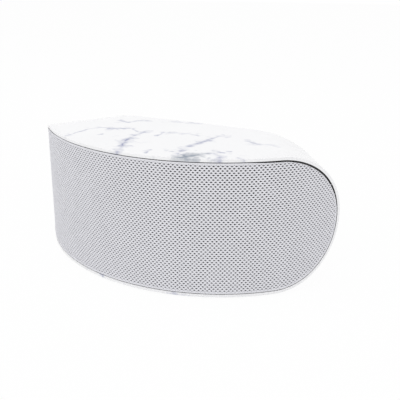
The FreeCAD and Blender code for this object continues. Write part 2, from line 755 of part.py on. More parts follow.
def make_driver(side, sign):
    """One loudspeaker unit: frame, suspension, cone, coil and magnet, about its own axis."""
    turn = driver_turn(sign)
    cone_low = "dims.flange_face - dims.cone_depth"
    neck = "dims.coil_radius + dims.glue_gap"
    lip = "dims.cone_edge - dims.surround_lip"
    coil_top = f"{cone_low} + dims.neck_height"

    gasket = ring(side + "_gasket_ring", "dims.flange_radius - dims.gasket_width", "dims.flange_radius",
                  "0", "dims.gasket_wall")
    drill_flange(gasket, side + "_gasket")
    basket = turned(side + "_frame", [
        ("dims.coil_radius + 2 * dims.air_gap", "dims.plate_face"),
        ("dims.plate_radius", "dims.plate_face"),
        ("dims.basket_radius", "dims.gasket_wall"),
        ("dims.flange_radius", "dims.gasket_wall"),
        ("dims.flange_radius", "dims.flange_face"),
        ("dims.basket_radius - dims.basket_wall", "dims.flange_face"),
        ("dims.plate_radius - dims.basket_wall", "dims.plate_face + dims.basket_wall"),
        ("dims.coil_radius + 2 * dims.air_gap", "dims.plate_face + dims.basket_wall"),
    ])
    drill_flange(basket, side + "_flange")
    window_middle = "(dims.plate_face + dims.gasket_wall) / 2"
    for plane in ("XZ_Plane", "YZ_Plane"):
        window = new_sketch(basket, f"{side}_window_{plane}", plane)
        rectangle(window, "0", window_middle, "dims.window_width", "dims.window_height")
        pocket(basket, window, "4 * dims.basket_radius").SideType = "Symmetric"
    surround = roll(side + "_roll", "dims.basket_radius", "dims.flange_face")
    cone = turned(side + "_paper", [
        (neck, cone_low),
        (f"{lip} + dims.cone_wall", "dims.flange_face - dims.cone_wall"),
        ("dims.cone_edge", "dims.flange_face - dims.cone_wall"),
        ("dims.cone_edge", "dims.flange_face"),
        (lip, "dims.flange_face"),
        (neck, coil_top),
    ])
    coil = ring(side + "_former", "dims.coil_radius - dims.coil_wall", "dims.coil_radius",
                f"{coil_top} - dims.coil_length", coil_top)
    cap = dome(side + "_dome", "dims.coil_radius", f"{coil_top} + dims.glue_gap")
    spider = make_spider(side)
    plate = ring(side + "_front_plate", "dims.coil_radius + dims.air_gap", "dims.plate_radius",
                 "dims.magnet_face", "dims.plate_face")
    magnet = ring(side + "_magnet_ring", "dims.coil_radius + 4 * dims.air_gap", "dims.magnet_radius",
                  "dims.yoke_face", "dims.magnet_face")
    pole = "dims.coil_radius - dims.coil_wall - dims.air_gap"
    yoke = turned(side + "_yoke", [
        ("0", "dims.yoke_face - dims.plate_height"),
        ("dims.plate_radius", "dims.yoke_face - dims.plate_height"),
        ("dims.plate_radius", "dims.yoke_face"),
        (pole, "dims.yoke_face"),
        (pole, "dims.plate_face"),
        ("0", "dims.plate_face"),
    ])
    names = ("gasket", "basket", "surround", "cone", "voice_coil", "dust_cap", "spider",
             "top_plate", "magnet", "back_plate")
    for name, body in zip(names, (gasket, basket, surround, cone, coil, cap, spider, plate, magnet, yoke)):
        piece(put_on_axis(body, turn, "dims.seat_radius"), f"{side}_{name}")
    screws = []
    for corner, across, up in flange_corners():
        item = screw(f"{side}_driver_screw_{corner}", "dims.driver_screw_length")
        screws.append(put_on_axis(item, turn, "dims.seat_radius + dims.flange_face", across, up))
    group(screws, side + "_driver_screws")


def dome(name, radius, base):
    """Make a thin dust cap: a shallow dome that stands on the coil."""
    body = new_body(name)
    sketch = new_sketch(body, name + "_outline", "XZ_Plane")
    ball = f"((({radius}) ^ 2 + dims.cap_rise ^ 2) / (2 * dims.cap_rise))"
    middle = f"{base} + dims.cap_rise - {ball}"
    inside = f"({ball} - dims.coil_wall)"
    inner = f"sqrt({inside} ^ 2 - ({ball} - dims.cap_rise) ^ 2)"
    arc_outline(sketch, [
        (radius, base, ("0", middle, 1)),
        ("0", f"{base} + dims.cap_rise", None),
        ("0", f"{base} + dims.cap_rise - dims.coil_wall", ("0", middle, -1)),
        (inner, base, None),
    ])
    spin(body, sketch)
    return body


def make_spider(side):
    """Corrugated ring that centres the coil: a zigzag from the coil out to the basket."""
    low = "(dims.flange_face - dims.cone_depth - dims.spider_drop)"
    inner = "(dims.coil_radius + dims.glue_gap)"
    floor_top = "dims.plate_face + dims.basket_wall"
    flare = f"(dims.basket_radius - dims.plate_radius) / (dims.flange_face - ({floor_top}))"
    wall_radius = f"dims.plate_radius - dims.basket_wall + ({low} - ({floor_top})) * {flare}"
    outer = f"({wall_radius} - dims.fit)"
    lower = []
    for step in range(SPIDER_STEPS + 1):
        radius = f"{inner} + ({outer} - {inner}) * {step} / {SPIDER_STEPS}"
        lower.append((radius, f"{low} + dims.spider_wall * {step % 2}"))
    upper = [(radius, f"{height} + dims.spider_wall") for radius, height in reversed(lower)]
    return turned(side + "_corrugation", lower + upper)


def make_radiator():
    """Passive radiator in the middle well: its ring, roll, plate and weight."""
    rim = "dims.radiator_radius - dims.fit"
    edge = f"{rim} - dims.surround_lip - 2 * dims.surround_roll"
    frame = ring("radiator_ring", "dims.radiator_radius - dims.radiator_lip", "dims.radiator_radius",
                 "0", "dims.radiator_wall")
    surround = roll("radiator_roll", rim, "dims.radiator_wall")
    plate = ring("radiator_disc", "0", edge, "0", "dims.radiator_wall")
    weight = ring("radiator_mass", "0", "dims.radiator_weight_radius", "-dims.radiator_weight_height", "0")
    names = ("frame", "surround", "plate", "weight")
    for name, body in zip(names, (frame, surround, plate, weight)):
        piece(put_on_axis(body, "0", "dims.seat_radius"), "radiator_" + name)


def make_rear_cover():
    """Curved back wall with a sunk control panel, a board shelf and posts for the battery cradle."""
    inner = "dims.cover_recess + dims.cover_wall"
    plate = back_wall("cover_plate", "dims.cover_recess", inner, "dims.rim_inset")
    deep = f"{inner} + dims.panel_depth + dims.panel_wall"
    thick = back_wall("cover_thick", "dims.cover_recess", deep, "dims.rim_inset")
    backing = new_body("panel_backing")
    outline = new_sketch(backing, "panel_backing_outline", "XZ_Plane", "-dims.panel_back")
    border = "2 * dims.panel_border"
    slot(outline, "0", "0", f"2 * dims.panel_half_length + {border}", f"dims.panel_height + {border}")
    pad(backing, outline, "2 * dims.panel_depth + dims.panel_wall", back=True)
    put(backing, z="dims.panel_z")
    boss = doc.addObject("Part::Common", "panel_boss")
    boss.Base = backing
    boss.Tool = thick
    grown = [plate, boss]
    shelf_z = "dims.board_top - dims.board_wall - dims.shelf_wall"
    shelf_length = "dims.shelf_back - dims.board_back + dims.shelf_depth"
    post_height = "dims.post_root - dims.cradle_back - dims.fit"
    for side, sign in SIDES:
        grown.append(box(side + "_shelf", "dims.shelf_width", shelf_length, "dims.shelf_wall",
                         f"{sign} * dims.shelf_x", "dims.shelf_back", shelf_z))
        post = cylinder(side + "_cradle_post", "dims.cradle_post_radius", post_height)
        grown.append(put(post, f"{sign} * dims.cradle_post_x", "dims.post_root", "dims.battery_z", tip="90"))
    tools = [panel_tool()]
    for place, x, z_side in lug_places("dims.rear_lug_x"):
        z = f"dims.mid_height + {z_side} * dims.lug_z"
        drill = cylinder("cover_drill_" + place, "dims.pilot_radius", "4 * dims.cut_margin")
        tools.append(put(drill, x, "dims.rear_screw_seat + dims.cut_margin", z, tip="90"))
        sink = cylinder("cover_sink_" + place, "dims.screw_head_radius + dims.fit", "dims.cut_margin")
        tools.append(put(sink, x, "dims.rear_screw_seat + dims.cut_margin", z, tip="90"))
    drill_z = "dims.board_top - 2 * dims.cut_margin"
    for side, sign in SIDES:
        drill = cylinder(side + "_shelf_drill", "dims.pilot_radius", "2 * dims.cut_margin")
        tools.append(put(drill, f"{sign} * dims.shelf_x", "dims.board_screw_y", drill_z))
    solid = fuse(grown, "cover_solid")
    piece(cut(solid, fuse(tools, "cover_cuts"), "cover_moulding"), "rear_cover")
    screws = []
    for place, x, z_side in lug_places("dims.rear_lug_x"):
        z = f"dims.mid_height + {z_side} * dims.lug_z"
        screws.append(put(screw("cover_screw_" + place), x, "dims.rear_screw_seat", z, turn="180", tip="90"))
    group(screws, "rear_cover_screws")


def panel_tool():
    """The cut that sinks the control panel and opens its buttons, light and sockets."""
    body = new_body("panel_cut")
    sunk = new_sketch(body, "panel_sunk", "XZ_Plane", "-dims.panel_face")
    slot(sunk, "0", "0", "2 * dims.panel_half_length", "dims.panel_height")
    pad(body, sunk, "dims.panel_depth + dims.cut_margin", back=True)
    holes = new_sketch(body, "panel_holes", "XZ_Plane", "-dims.panel_face")
    for number in range(len(BUTTONS)):
        circle(holes, button_x(number), "0", "dims.button_radius + dims.button_clearance")
    circle(holes, "dims.light_x", "0", "dims.light_radius + dims.fit")
    circle(holes, "dims.jack_x", "0", "dims.jack_collar_radius + dims.fit")
    slot(holes, "dims.usb_x", "0", "dims.usb_width + 2 * dims.fit", "dims.usb_height + 2 * dims.fit")
    pad(body, holes, "dims.panel_wall + dims.cut_margin")
    return put(body, z="dims.panel_z")


def button_x(number):
    return f"dims.first_button_x + {number} * dims.button_spacing"


def make_buttons():
    """Four round keys that pass through the panel and are kept in by a flange behind it."""
    brim = "dims.button_radius + dims.button_clearance + dims.button_brim"
    brim_top = "dims.button_back + dims.button_flange"
    top = "dims.panel_face + dims.button_proud"
    for number, name in enumerate(BUTTONS):
        body = turned(name + "_key", [
            ("0", "dims.button_back"),
            (brim, "dims.button_back"),
            (brim, brim_top),
            ("dims.button_radius", brim_top),
            ("dims.button_radius", f"{top} - dims.button_edge"),
            ("dims.button_radius - dims.button_edge", top),
            ("0", top),
        ])
        piece(put(body, button_x(number), "0", "dims.panel_z", turn="180", tip="90"), name)


def make_sockets():
    """Status light, charging socket and line-in jack, set in a row beside the keys."""
    light = turned("light_pipe", [
        ("0", "dims.switch_face"),
        ("dims.light_radius + 2 * dims.fit", "dims.switch_face"),
        ("dims.light_radius + 2 * dims.fit", "dims.panel_back - dims.fit"),
        ("dims.light_radius", "dims.panel_back - dims.fit"),
        ("dims.light_radius", "dims.panel_face + dims.fit"),
        ("0", "dims.panel_face + dims.fit"),
    ])
    piece(put(light, "dims.light_x", "0", "dims.panel_z", turn="180", tip="90"), "status_light")

    usb = new_body("usb_shell")
    mouth_y = "(dims.panel_face - dims.fit)"
    flat_width = "dims.usb_width - dims.usb_height"
    can = new_sketch(usb, "usb_can", "XZ_Plane", f"-{mouth_y}")
    slot(can, "0", "0", "dims.usb_width", "dims.usb_height")
    pad(usb, can, "dims.usb_depth")
    mouth = new_sketch(usb, "usb_mouth", "XZ_Plane", f"-{mouth_y}")
    slot(mouth, "0", "0", "dims.usb_width - 2 * dims.usb_wall", "dims.usb_height - 2 * dims.usb_wall")
    pocket(usb, mouth, "dims.usb_depth - 2 * dims.usb_wall", forward=True)
    tongue = new_sketch(usb, "usb_tongue", "XZ_Plane", f"dims.usb_depth - dims.usb_wall - {mouth_y}")
    rectangle(tongue, "0", "0", flat_width, "dims.usb_tongue_height")
    pad(usb, tongue, "dims.usb_tongue_length + dims.usb_wall", back=True)
    leg = new_sketch(usb, "usb_leg", "XZ_Plane", "-(dims.board_back - dims.fit)")
    leg_height = "(dims.port_height - dims.usb_height / 2 + dims.usb_wall)"
    rectangle(leg, "0", f"{leg_height} / 2 - dims.port_height", flat_width, leg_height)
    pad(usb, leg, "dims.usb_depth / 2")
    piece(put(usb, "dims.usb_x", "0", "dims.panel_z"), "usb_socket")

    jack = new_body("jack_housing")
    block = new_sketch(jack, "jack_block_outline", "XZ_Plane", "-(dims.panel_back - dims.fit)")
    polygon(block, [
        ("-dims.jack_block / 2", "-dims.port_height"),
        ("dims.jack_block / 2", "-dims.port_height"),
        ("dims.jack_block / 2", "dims.jack_block / 2"),
        ("-dims.jack_block / 2", "dims.jack_block / 2"),
    ])
    pad(jack, block, "dims.jack_length")
    collar = new_sketch(jack, "jack_collar", "XZ_Plane", "-(dims.panel_back - dims.fit)")
    circle(collar, "0", "0", "dims.jack_collar_radius")
    pad(jack, collar, "dims.panel_wall + 2 * dims.fit", back=True)
    bore = new_sketch(jack, "jack_bore", "XZ_Plane", "-(dims.panel_face + dims.fit)")
    circle(bore, "0", "0", "dims.jack_bore_radius")
    pocket(jack, bore, "dims.jack_length", forward=True)
    piece(put(jack, "dims.jack_x", "0", "dims.panel_z"), "aux_jack")


def make_board():
    """Circuit board on its shelf, with the key switches and the parts that show on it."""
    board = new_body("board_sheet")
    outline = new_sketch(board, "board_outline")
    middle = "dims.board_back - dims.board_depth / 2"
    rectangle(outline, "0", middle, "2 * dims.board_half_length", "dims.board_depth")
    for _, sign in SIDES:
        circle(outline, f"{sign} * dims.shelf_x", "dims.board_screw_y", "dims.pilot_radius")
    pad(board, outline, "dims.board_wall", back=True)
    piece(put(board, z="dims.board_top"), "main_board")

    switches = []
    for number, name in enumerate(BUTTONS):
        switches.append(box(name + "_switch", "dims.switch_width", "dims.switch_depth", "dims.switch_height",
                            button_x(number), "dims.switch_face", "dims.board_top"))
    group(switches, "tact_switches")
    module = box("module_can", "dims.module_length", "dims.module_depth", "dims.module_height",
                 "dims.module_x", "dims.module_y + dims.module_depth / 2", "dims.board_top")
    piece(module, "bluetooth_module")
    chip = box("chip_case", "dims.chip_length", "dims.chip_length", "dims.chip_height",
               "dims.chip_x", "dims.chip_y + dims.chip_length / 2", "dims.board_top")
    piece(chip, "amplifier_chip")
    cans = []
    for number in range(2):
        can = cylinder(f"capacitor_{number}", "dims.capacitor_radius", "dims.capacitor_height")
        y = f"dims.capacitor_y + {number} * dims.capacitor_spacing"
        cans.append(put(can, "dims.capacitor_x", y, "dims.board_top"))
    group(cans, "capacitors")
    plugs = []
    for side, sign in SIDES:
        plugs.append(box(side + "_plug", "dims.plug_length", "dims.plug_depth", "dims.plug_height",
                         f"{sign} * dims.plug_x", "dims.plug_y + dims.plug_depth / 2", "dims.board_top"))
    group(plugs, "lead_plugs")
    screws = []
    for side, sign in SIDES:
        item = screw(side + "_board_screw", "dims.board_wall + dims.shelf_wall")
        screws.append(put(item, f"{sign} * dims.shelf_x", "dims.board_screw_y", "dims.board_top"))
    group(screws, "board_screws")


def make_battery():
    """Round cell that lies along X in a half-round cradle on the back wall."""
    cell = turned("cell_can", [
        ("0", "-dims.battery_length / 2"),
        ("dims.battery_radius", "-dims.battery_length / 2"),
        ("dims.battery_radius", "dims.battery_length / 2 - dims.cell_nub"),
        ("dims.battery_radius / 3", "dims.battery_length / 2 - dims.cell_nub"),
        ("dims.battery_radius / 3", "dims.battery_length / 2"),
        ("0", "dims.battery_length / 2"),
    ])
    piece(put(cell, "0", "dims.battery_y", "dims.battery_z", turn="90", tip="90"), "battery_cell")
    cradle = new_body("cradle_trough")
    sketch = new_sketch(cradle, "cradle_section", "YZ_Plane")
    inner = "dims.battery_radius + dims.cradle_clearance"
    outer = "dims.cradle_radius"
    arc_outline(sketch, [
        ("0", f"-{outer}", ("0", "0", 1)),
        ("0", outer, None),
        ("0", inner, ("0", "0", -1)),
        ("0", f"-({inner})", None),
    ])
    pad(cradle, sketch, "dims.cradle_length", symmetric=True)
    piece(put(cradle, "0", "dims.battery_y", "dims.battery_z"), "battery_cradle")


def finish():
    """Check every object, then write each sub-part to its own file."""
    doc.recompute()
    failed = [item.Name for item in doc.Objects if {"Invalid", "Error"} & set(item.State)]
    failed += [item.Label for item in pieces if item.Shape.isNull() or not item.Shape.isValid()]
    if failed:
        raise RuntimeError("failed objects: " + ", ".join(failed))
    os.makedirs("parts", exist_ok=True)
    for item in pieces:
        item.Shape.exportStep(os.path.join("parts", item.Label + ".step"))


fill_sheet()
make_sleeve()
make_baffle()
make_grille()
for side_name, side_sign in SIDES:
    make_driver(side_name, side_sign)
make_radiator()
make_rear_cover()
make_buttons()
make_sockets()
make_board()
make_battery()
make_feet()
finish()
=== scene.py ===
"""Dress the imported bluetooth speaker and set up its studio."""
import json
import logging
import math
from dataclasses import dataclass, field
from enum import Enum

import bmesh
import bpy
from mathutils import Matrix, Vector

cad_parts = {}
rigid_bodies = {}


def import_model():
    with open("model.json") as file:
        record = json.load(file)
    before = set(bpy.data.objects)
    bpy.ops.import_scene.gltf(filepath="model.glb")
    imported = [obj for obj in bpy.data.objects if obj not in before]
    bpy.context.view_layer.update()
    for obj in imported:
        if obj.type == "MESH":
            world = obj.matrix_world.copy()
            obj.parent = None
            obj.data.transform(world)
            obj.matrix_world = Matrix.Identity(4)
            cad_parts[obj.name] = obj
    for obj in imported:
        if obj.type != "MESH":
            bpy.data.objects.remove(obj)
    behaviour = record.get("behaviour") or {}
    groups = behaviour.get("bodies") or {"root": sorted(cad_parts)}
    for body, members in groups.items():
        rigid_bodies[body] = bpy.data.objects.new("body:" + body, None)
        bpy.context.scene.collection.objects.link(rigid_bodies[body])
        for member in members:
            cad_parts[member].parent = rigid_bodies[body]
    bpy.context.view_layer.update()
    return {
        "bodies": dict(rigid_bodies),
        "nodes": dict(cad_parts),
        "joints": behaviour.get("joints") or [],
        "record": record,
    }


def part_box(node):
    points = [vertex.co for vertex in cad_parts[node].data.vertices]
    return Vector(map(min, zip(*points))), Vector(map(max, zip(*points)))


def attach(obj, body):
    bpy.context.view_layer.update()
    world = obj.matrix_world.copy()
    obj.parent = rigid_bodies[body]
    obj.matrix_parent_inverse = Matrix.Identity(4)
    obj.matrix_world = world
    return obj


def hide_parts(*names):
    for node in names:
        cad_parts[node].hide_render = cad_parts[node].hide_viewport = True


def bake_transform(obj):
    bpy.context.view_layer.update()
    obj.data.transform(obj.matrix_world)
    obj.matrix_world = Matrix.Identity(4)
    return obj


log = logging.getLogger("speaker")

MM = 0.001
PER_METRE = 1.0 / MM
# Points closer than this are one point.
MERGE_GAP = MM / 1000
HOUSING = "housing"

# The rubber rolls and the joints that stretch them.
ROLLS = {
    "left_surround": "left_cone_travel",
    "right_surround": "right_cone_travel",
    "radiator_surround": "radiator_travel",
}

# The transfer curve of sRGB.
SRGB_KNEE = 0.04045
SRGB_SLOPE = 12.92
SRGB_OFFSET = 0.055
SRGB_POWER = 2.4
SRGB_FULL = 255

# Places of the colour sockets on a Mix node.
MIX_A = 6
MIX_B = 7
MIX_RESULT = 2

# Places of the plain number's sockets on a Random Value node.
RANDOM_MAX = 3
RANDOM_RESULT = 1

# The kinds of node that the trees use most.
MATH = "ShaderNodeMath"
VECTOR_MATH = "ShaderNodeVectorMath"
NOISE = "ShaderNodeTexNoise"
REMAP = "ShaderNodeMapRange"
MIX = "ShaderNodeMix"
COMBINE = "ShaderNodeCombineXYZ"
SEPARATE = "ShaderNodeSeparateXYZ"

# The value that a noise texture swings about.
NOISE_MIDDLE = 0.5

Point = tuple[float, float]
Place = tuple[float, float, float]
Inputs = dict[str | int, object]
Tree = bpy.types.NodeTree
Source = bpy.types.Node | bpy.types.NodeSocket


def linear(code: str) -> tuple[float, float, float, float]:
    """Turn an sRGB hex colour into linear light.

    Args:
        code: The colour, such as "#F0F0F0".

    Returns:
        Red, green, blue and an alpha of one.
    """
    shares = [int(code[place:place + 2], 16) / SRGB_FULL for place in (1, 3, 5)]
    light = [
        share / SRGB_SLOPE if share <= SRGB_KNEE
        else ((share + SRGB_OFFSET) / (1 + SRGB_OFFSET)) ** SRGB_POWER
        for share in shares
    ]
    return light[0], light[1], light[2], 1.0


def add_node(tree: Tree, kind: str, inputs: Inputs | None = None, **settings: object) -> bpy.types.Node:
    """Add a node with its settings and links.

    Args:
        tree: The tree that takes the node.
        kind: The node's type.
        inputs: For each input, by name or place, its value, or the socket or node that feeds it.
            A node feeds it from its first output.
        settings: The node's own properties.

    Returns:
        The new node.
    """
    node = tree.nodes.new(kind)
    for name, value in settings.items():
        setattr(node, name, value)
    for key, value in (inputs or {}).items():
        source = value.outputs[0] if isinstance(value, bpy.types.Node) else value
        if isinstance(source, bpy.types.NodeSocket):
            tree.links.new(source, node.inputs[key])
        else:
            node.inputs[key].default_value = source
    return node


def new_tree(name: str, inputs: dict[str, str], result: str, kind: str = "GeometryNodeTree") -> Tree:
    """Start a node group with named inputs and one result.

    Args:
        name: The group's name.
        inputs: The socket type of each input, by name.
        result: The socket type of the result.
        kind: The kind of group.

    Returns:
        The group, with its input and output nodes still to be added.
    """
    tree = bpy.data.node_groups.new(name, kind)
    for title, socket in inputs.items():
        tree.interface.new_socket(name=title, in_out="INPUT", socket_type=socket)
    tree.interface.new_socket(name="Result", in_out="OUTPUT", socket_type=result)
    return tree


def new_object(name: str, mesh: bpy.types.Mesh) -> bpy.types.Object:
    """Put a mesh into the scene as an object at the origin.

    Args:
        name: The object's name.
        mesh: Its mesh, already in place.

    Returns:
        The object.
    """
    piece = bpy.data.objects.new(name, mesh)
    bpy.context.scene.collection.objects.link(piece)
    return piece


def settle(piece: bpy.types.Object) -> None:
    """Turn an object's modifiers into a plain mesh.

    Args:
        piece: The object, which keeps its place and loses its modifiers.
    """
    depsgraph = bpy.context.evaluated_depsgraph_get()
    mesh = bpy.data.meshes.new_from_object(piece.evaluated_get(depsgraph))
    piece.modifiers.clear()
    piece.data = mesh


def run_tree(tree: Tree, host: bpy.types.Object, values: dict[str, object]) -> None:
    """Run a geometry tree on an object and keep the result as a plain mesh.

    Args:
        tree: The geometry tree.
        host: The object that carries it.
        values: The value of each of the tree's inputs, by name.
    """
    modifier = host.modifiers.new(tree.name, "NODES")
    modifier.node_group = tree
    for item in tree.interface.items_tree:
        if item.in_out == "INPUT" and item.name in values:
            modifier[item.identifier] = values[item.name]
    settle(host)


def mesh_from(name: str, points: list[Vector], faces: list[tuple[int, ...]]) -> bpy.types.Mesh:
    """Make a mesh with its doubles merged and its faces pointing outwards.

    Args:
        name: The mesh's name.
        points: Its points in metres.
        faces: The corners of each face.

    Returns:
        The mesh.
    """
    mesh = bpy.data.meshes.new(name)
    mesh.from_pydata([tuple(point) for point in points], [], faces)
    work = bmesh.new()
    work.from_mesh(mesh)
    bmesh.ops.remove_doubles(work, verts=work.verts, dist=MERGE_GAP)
    bmesh.ops.recalc_face_normals(work, faces=work.faces)
    work.to_mesh(mesh)
    work.free()
    return mesh


def ring_faces(first: int, second: int, count: int) -> list[tuple[int, ...]]:
    """Join two rings of points with four-cornered faces.

    Args:
        first: The number of the first ring's first point.
        second: The number of the second ring's first point.
        count: How many points each ring has.

    Returns:
        The faces' corners.
    """
    return [
        (first + step, first + (step + 1) % count, second + (step + 1) % count, second + step)
        for step in range(count)
    ]


def finish_piece(piece: bpy.types.Object, body: str, slot: str, material: bpy.types.Material) -> None:
    """Give a piece its material and its body, and log its slot.

    Args:
        piece: The piece.
        body: The body that it rides on.
        slot: The record's material slot.
        material: Its material.
    """
    piece.data.materials.clear()
    piece.data.materials.append(material)
    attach(piece, body)
    log.info("%s rides on %s in %s", piece.name, body, slot)


class Grain(Enum):
    """How a surface was made, which gives its fine relief."""

    MOULDED = "moulded"
    BRUSHED = "brushed"
    WOVEN = "woven"
    WOUND = "wound"


@dataclass(frozen=True)
class Finish:
    """A surface with two tones that drift into each other and a fine relief."""

    name: str
    colour: str
    drift: str
    roughness: float
    grain: Grain = Grain.MOULDED
    grain_mm: float = 0.5
    relief_mm: float = 0.03
    drift_mm: float = 14.0
    metallic: float = 0.0
    ior: float = 1.5
    sheen: float = 0.0
    roughness_play: float = 0.08
    brush_stretch: float = 12.0
    band_share: float = 0.5
    grain_detail: float = 3.0
    brush_detail: float = 2.0
    drift_detail: float = 4.0

    def relief(self, tree: Tree, place: Source) -> Source:
        """Draw the relief of the way the surface was made.

        Args:
            tree: The material's tree.
            place: Object coordinates.

        Returns:
            The height, from 0 to 1.
        """
        scale = PER_METRE / self.grain_mm
        if self.grain is Grain.MOULDED:
            return add_node(tree, NOISE, {"Vector": place, "Scale": scale, "Detail": self.grain_detail})
        if self.grain is Grain.BRUSHED:
            along = add_node(tree, "ShaderNodeMapping", {
                "Vector": place, "Scale": (1 / self.brush_stretch, 1, 1),
            })
            return add_node(tree, NOISE, {"Vector": along, "Scale": scale, "Detail": self.brush_detail})
        bands = [
            add_node(
                tree, "ShaderNodeTexWave", {"Vector": place, "Scale": scale * self.band_share},
                wave_type="BANDS", bands_direction=direction,
            ).outputs["Fac"]
            for direction in ("X", "Z")
        ]
        if self.grain is Grain.WOUND:
            return bands[1]
        return add_node(tree, MATH, {0: bands[0], 1: bands[1]}, operation="MULTIPLY")

    def material(self) -> bpy.types.Material:
        """Build the material.

        Returns:
            The material.
        """
        material = bpy.data.materials.new(self.name)
        material.use_nodes = True
        tree = material.node_tree
        shader = tree.nodes["Principled BSDF"]
        place = add_node(tree, "ShaderNodeTexCoord").outputs["Object"]
        cloud = add_node(tree, NOISE, {
            "Vector": place, "Scale": PER_METRE / self.drift_mm, "Detail": self.drift_detail,
        })
        tone = add_node(
            tree, MIX, {0: cloud, MIX_A: linear(self.colour), MIX_B: linear(self.drift)}, data_type="RGBA"
        ).outputs[MIX_RESULT]
        height = self.relief(tree, place)
        gloss = add_node(tree, REMAP, {
            "Value": cloud, "To Min": self.roughness - self.roughness_play,
            "To Max": self.roughness + self.roughness_play,
        })
        bump = add_node(tree, "ShaderNodeBump", {"Height": height, "Distance": self.relief_mm * MM})
        tree.links.new(tone, shader.inputs["Base Color"])
        tree.links.new(gloss.outputs[0], shader.inputs["Roughness"])
        tree.links.new(bump.outputs[0], shader.inputs["Normal"])
        shader.inputs["Metallic"].default_value = self.metallic
        shader.inputs["IOR"].default_value = self.ior
        shader.inputs["Sheen Weight"].default_value = self.sheen
        return material


@dataclass(frozen=True)
class Vein:
    """One vein of the marble print, as a route over the top seen from above, in millimetres."""

    width: float
    strength: float
    route: tuple[Point, ...]


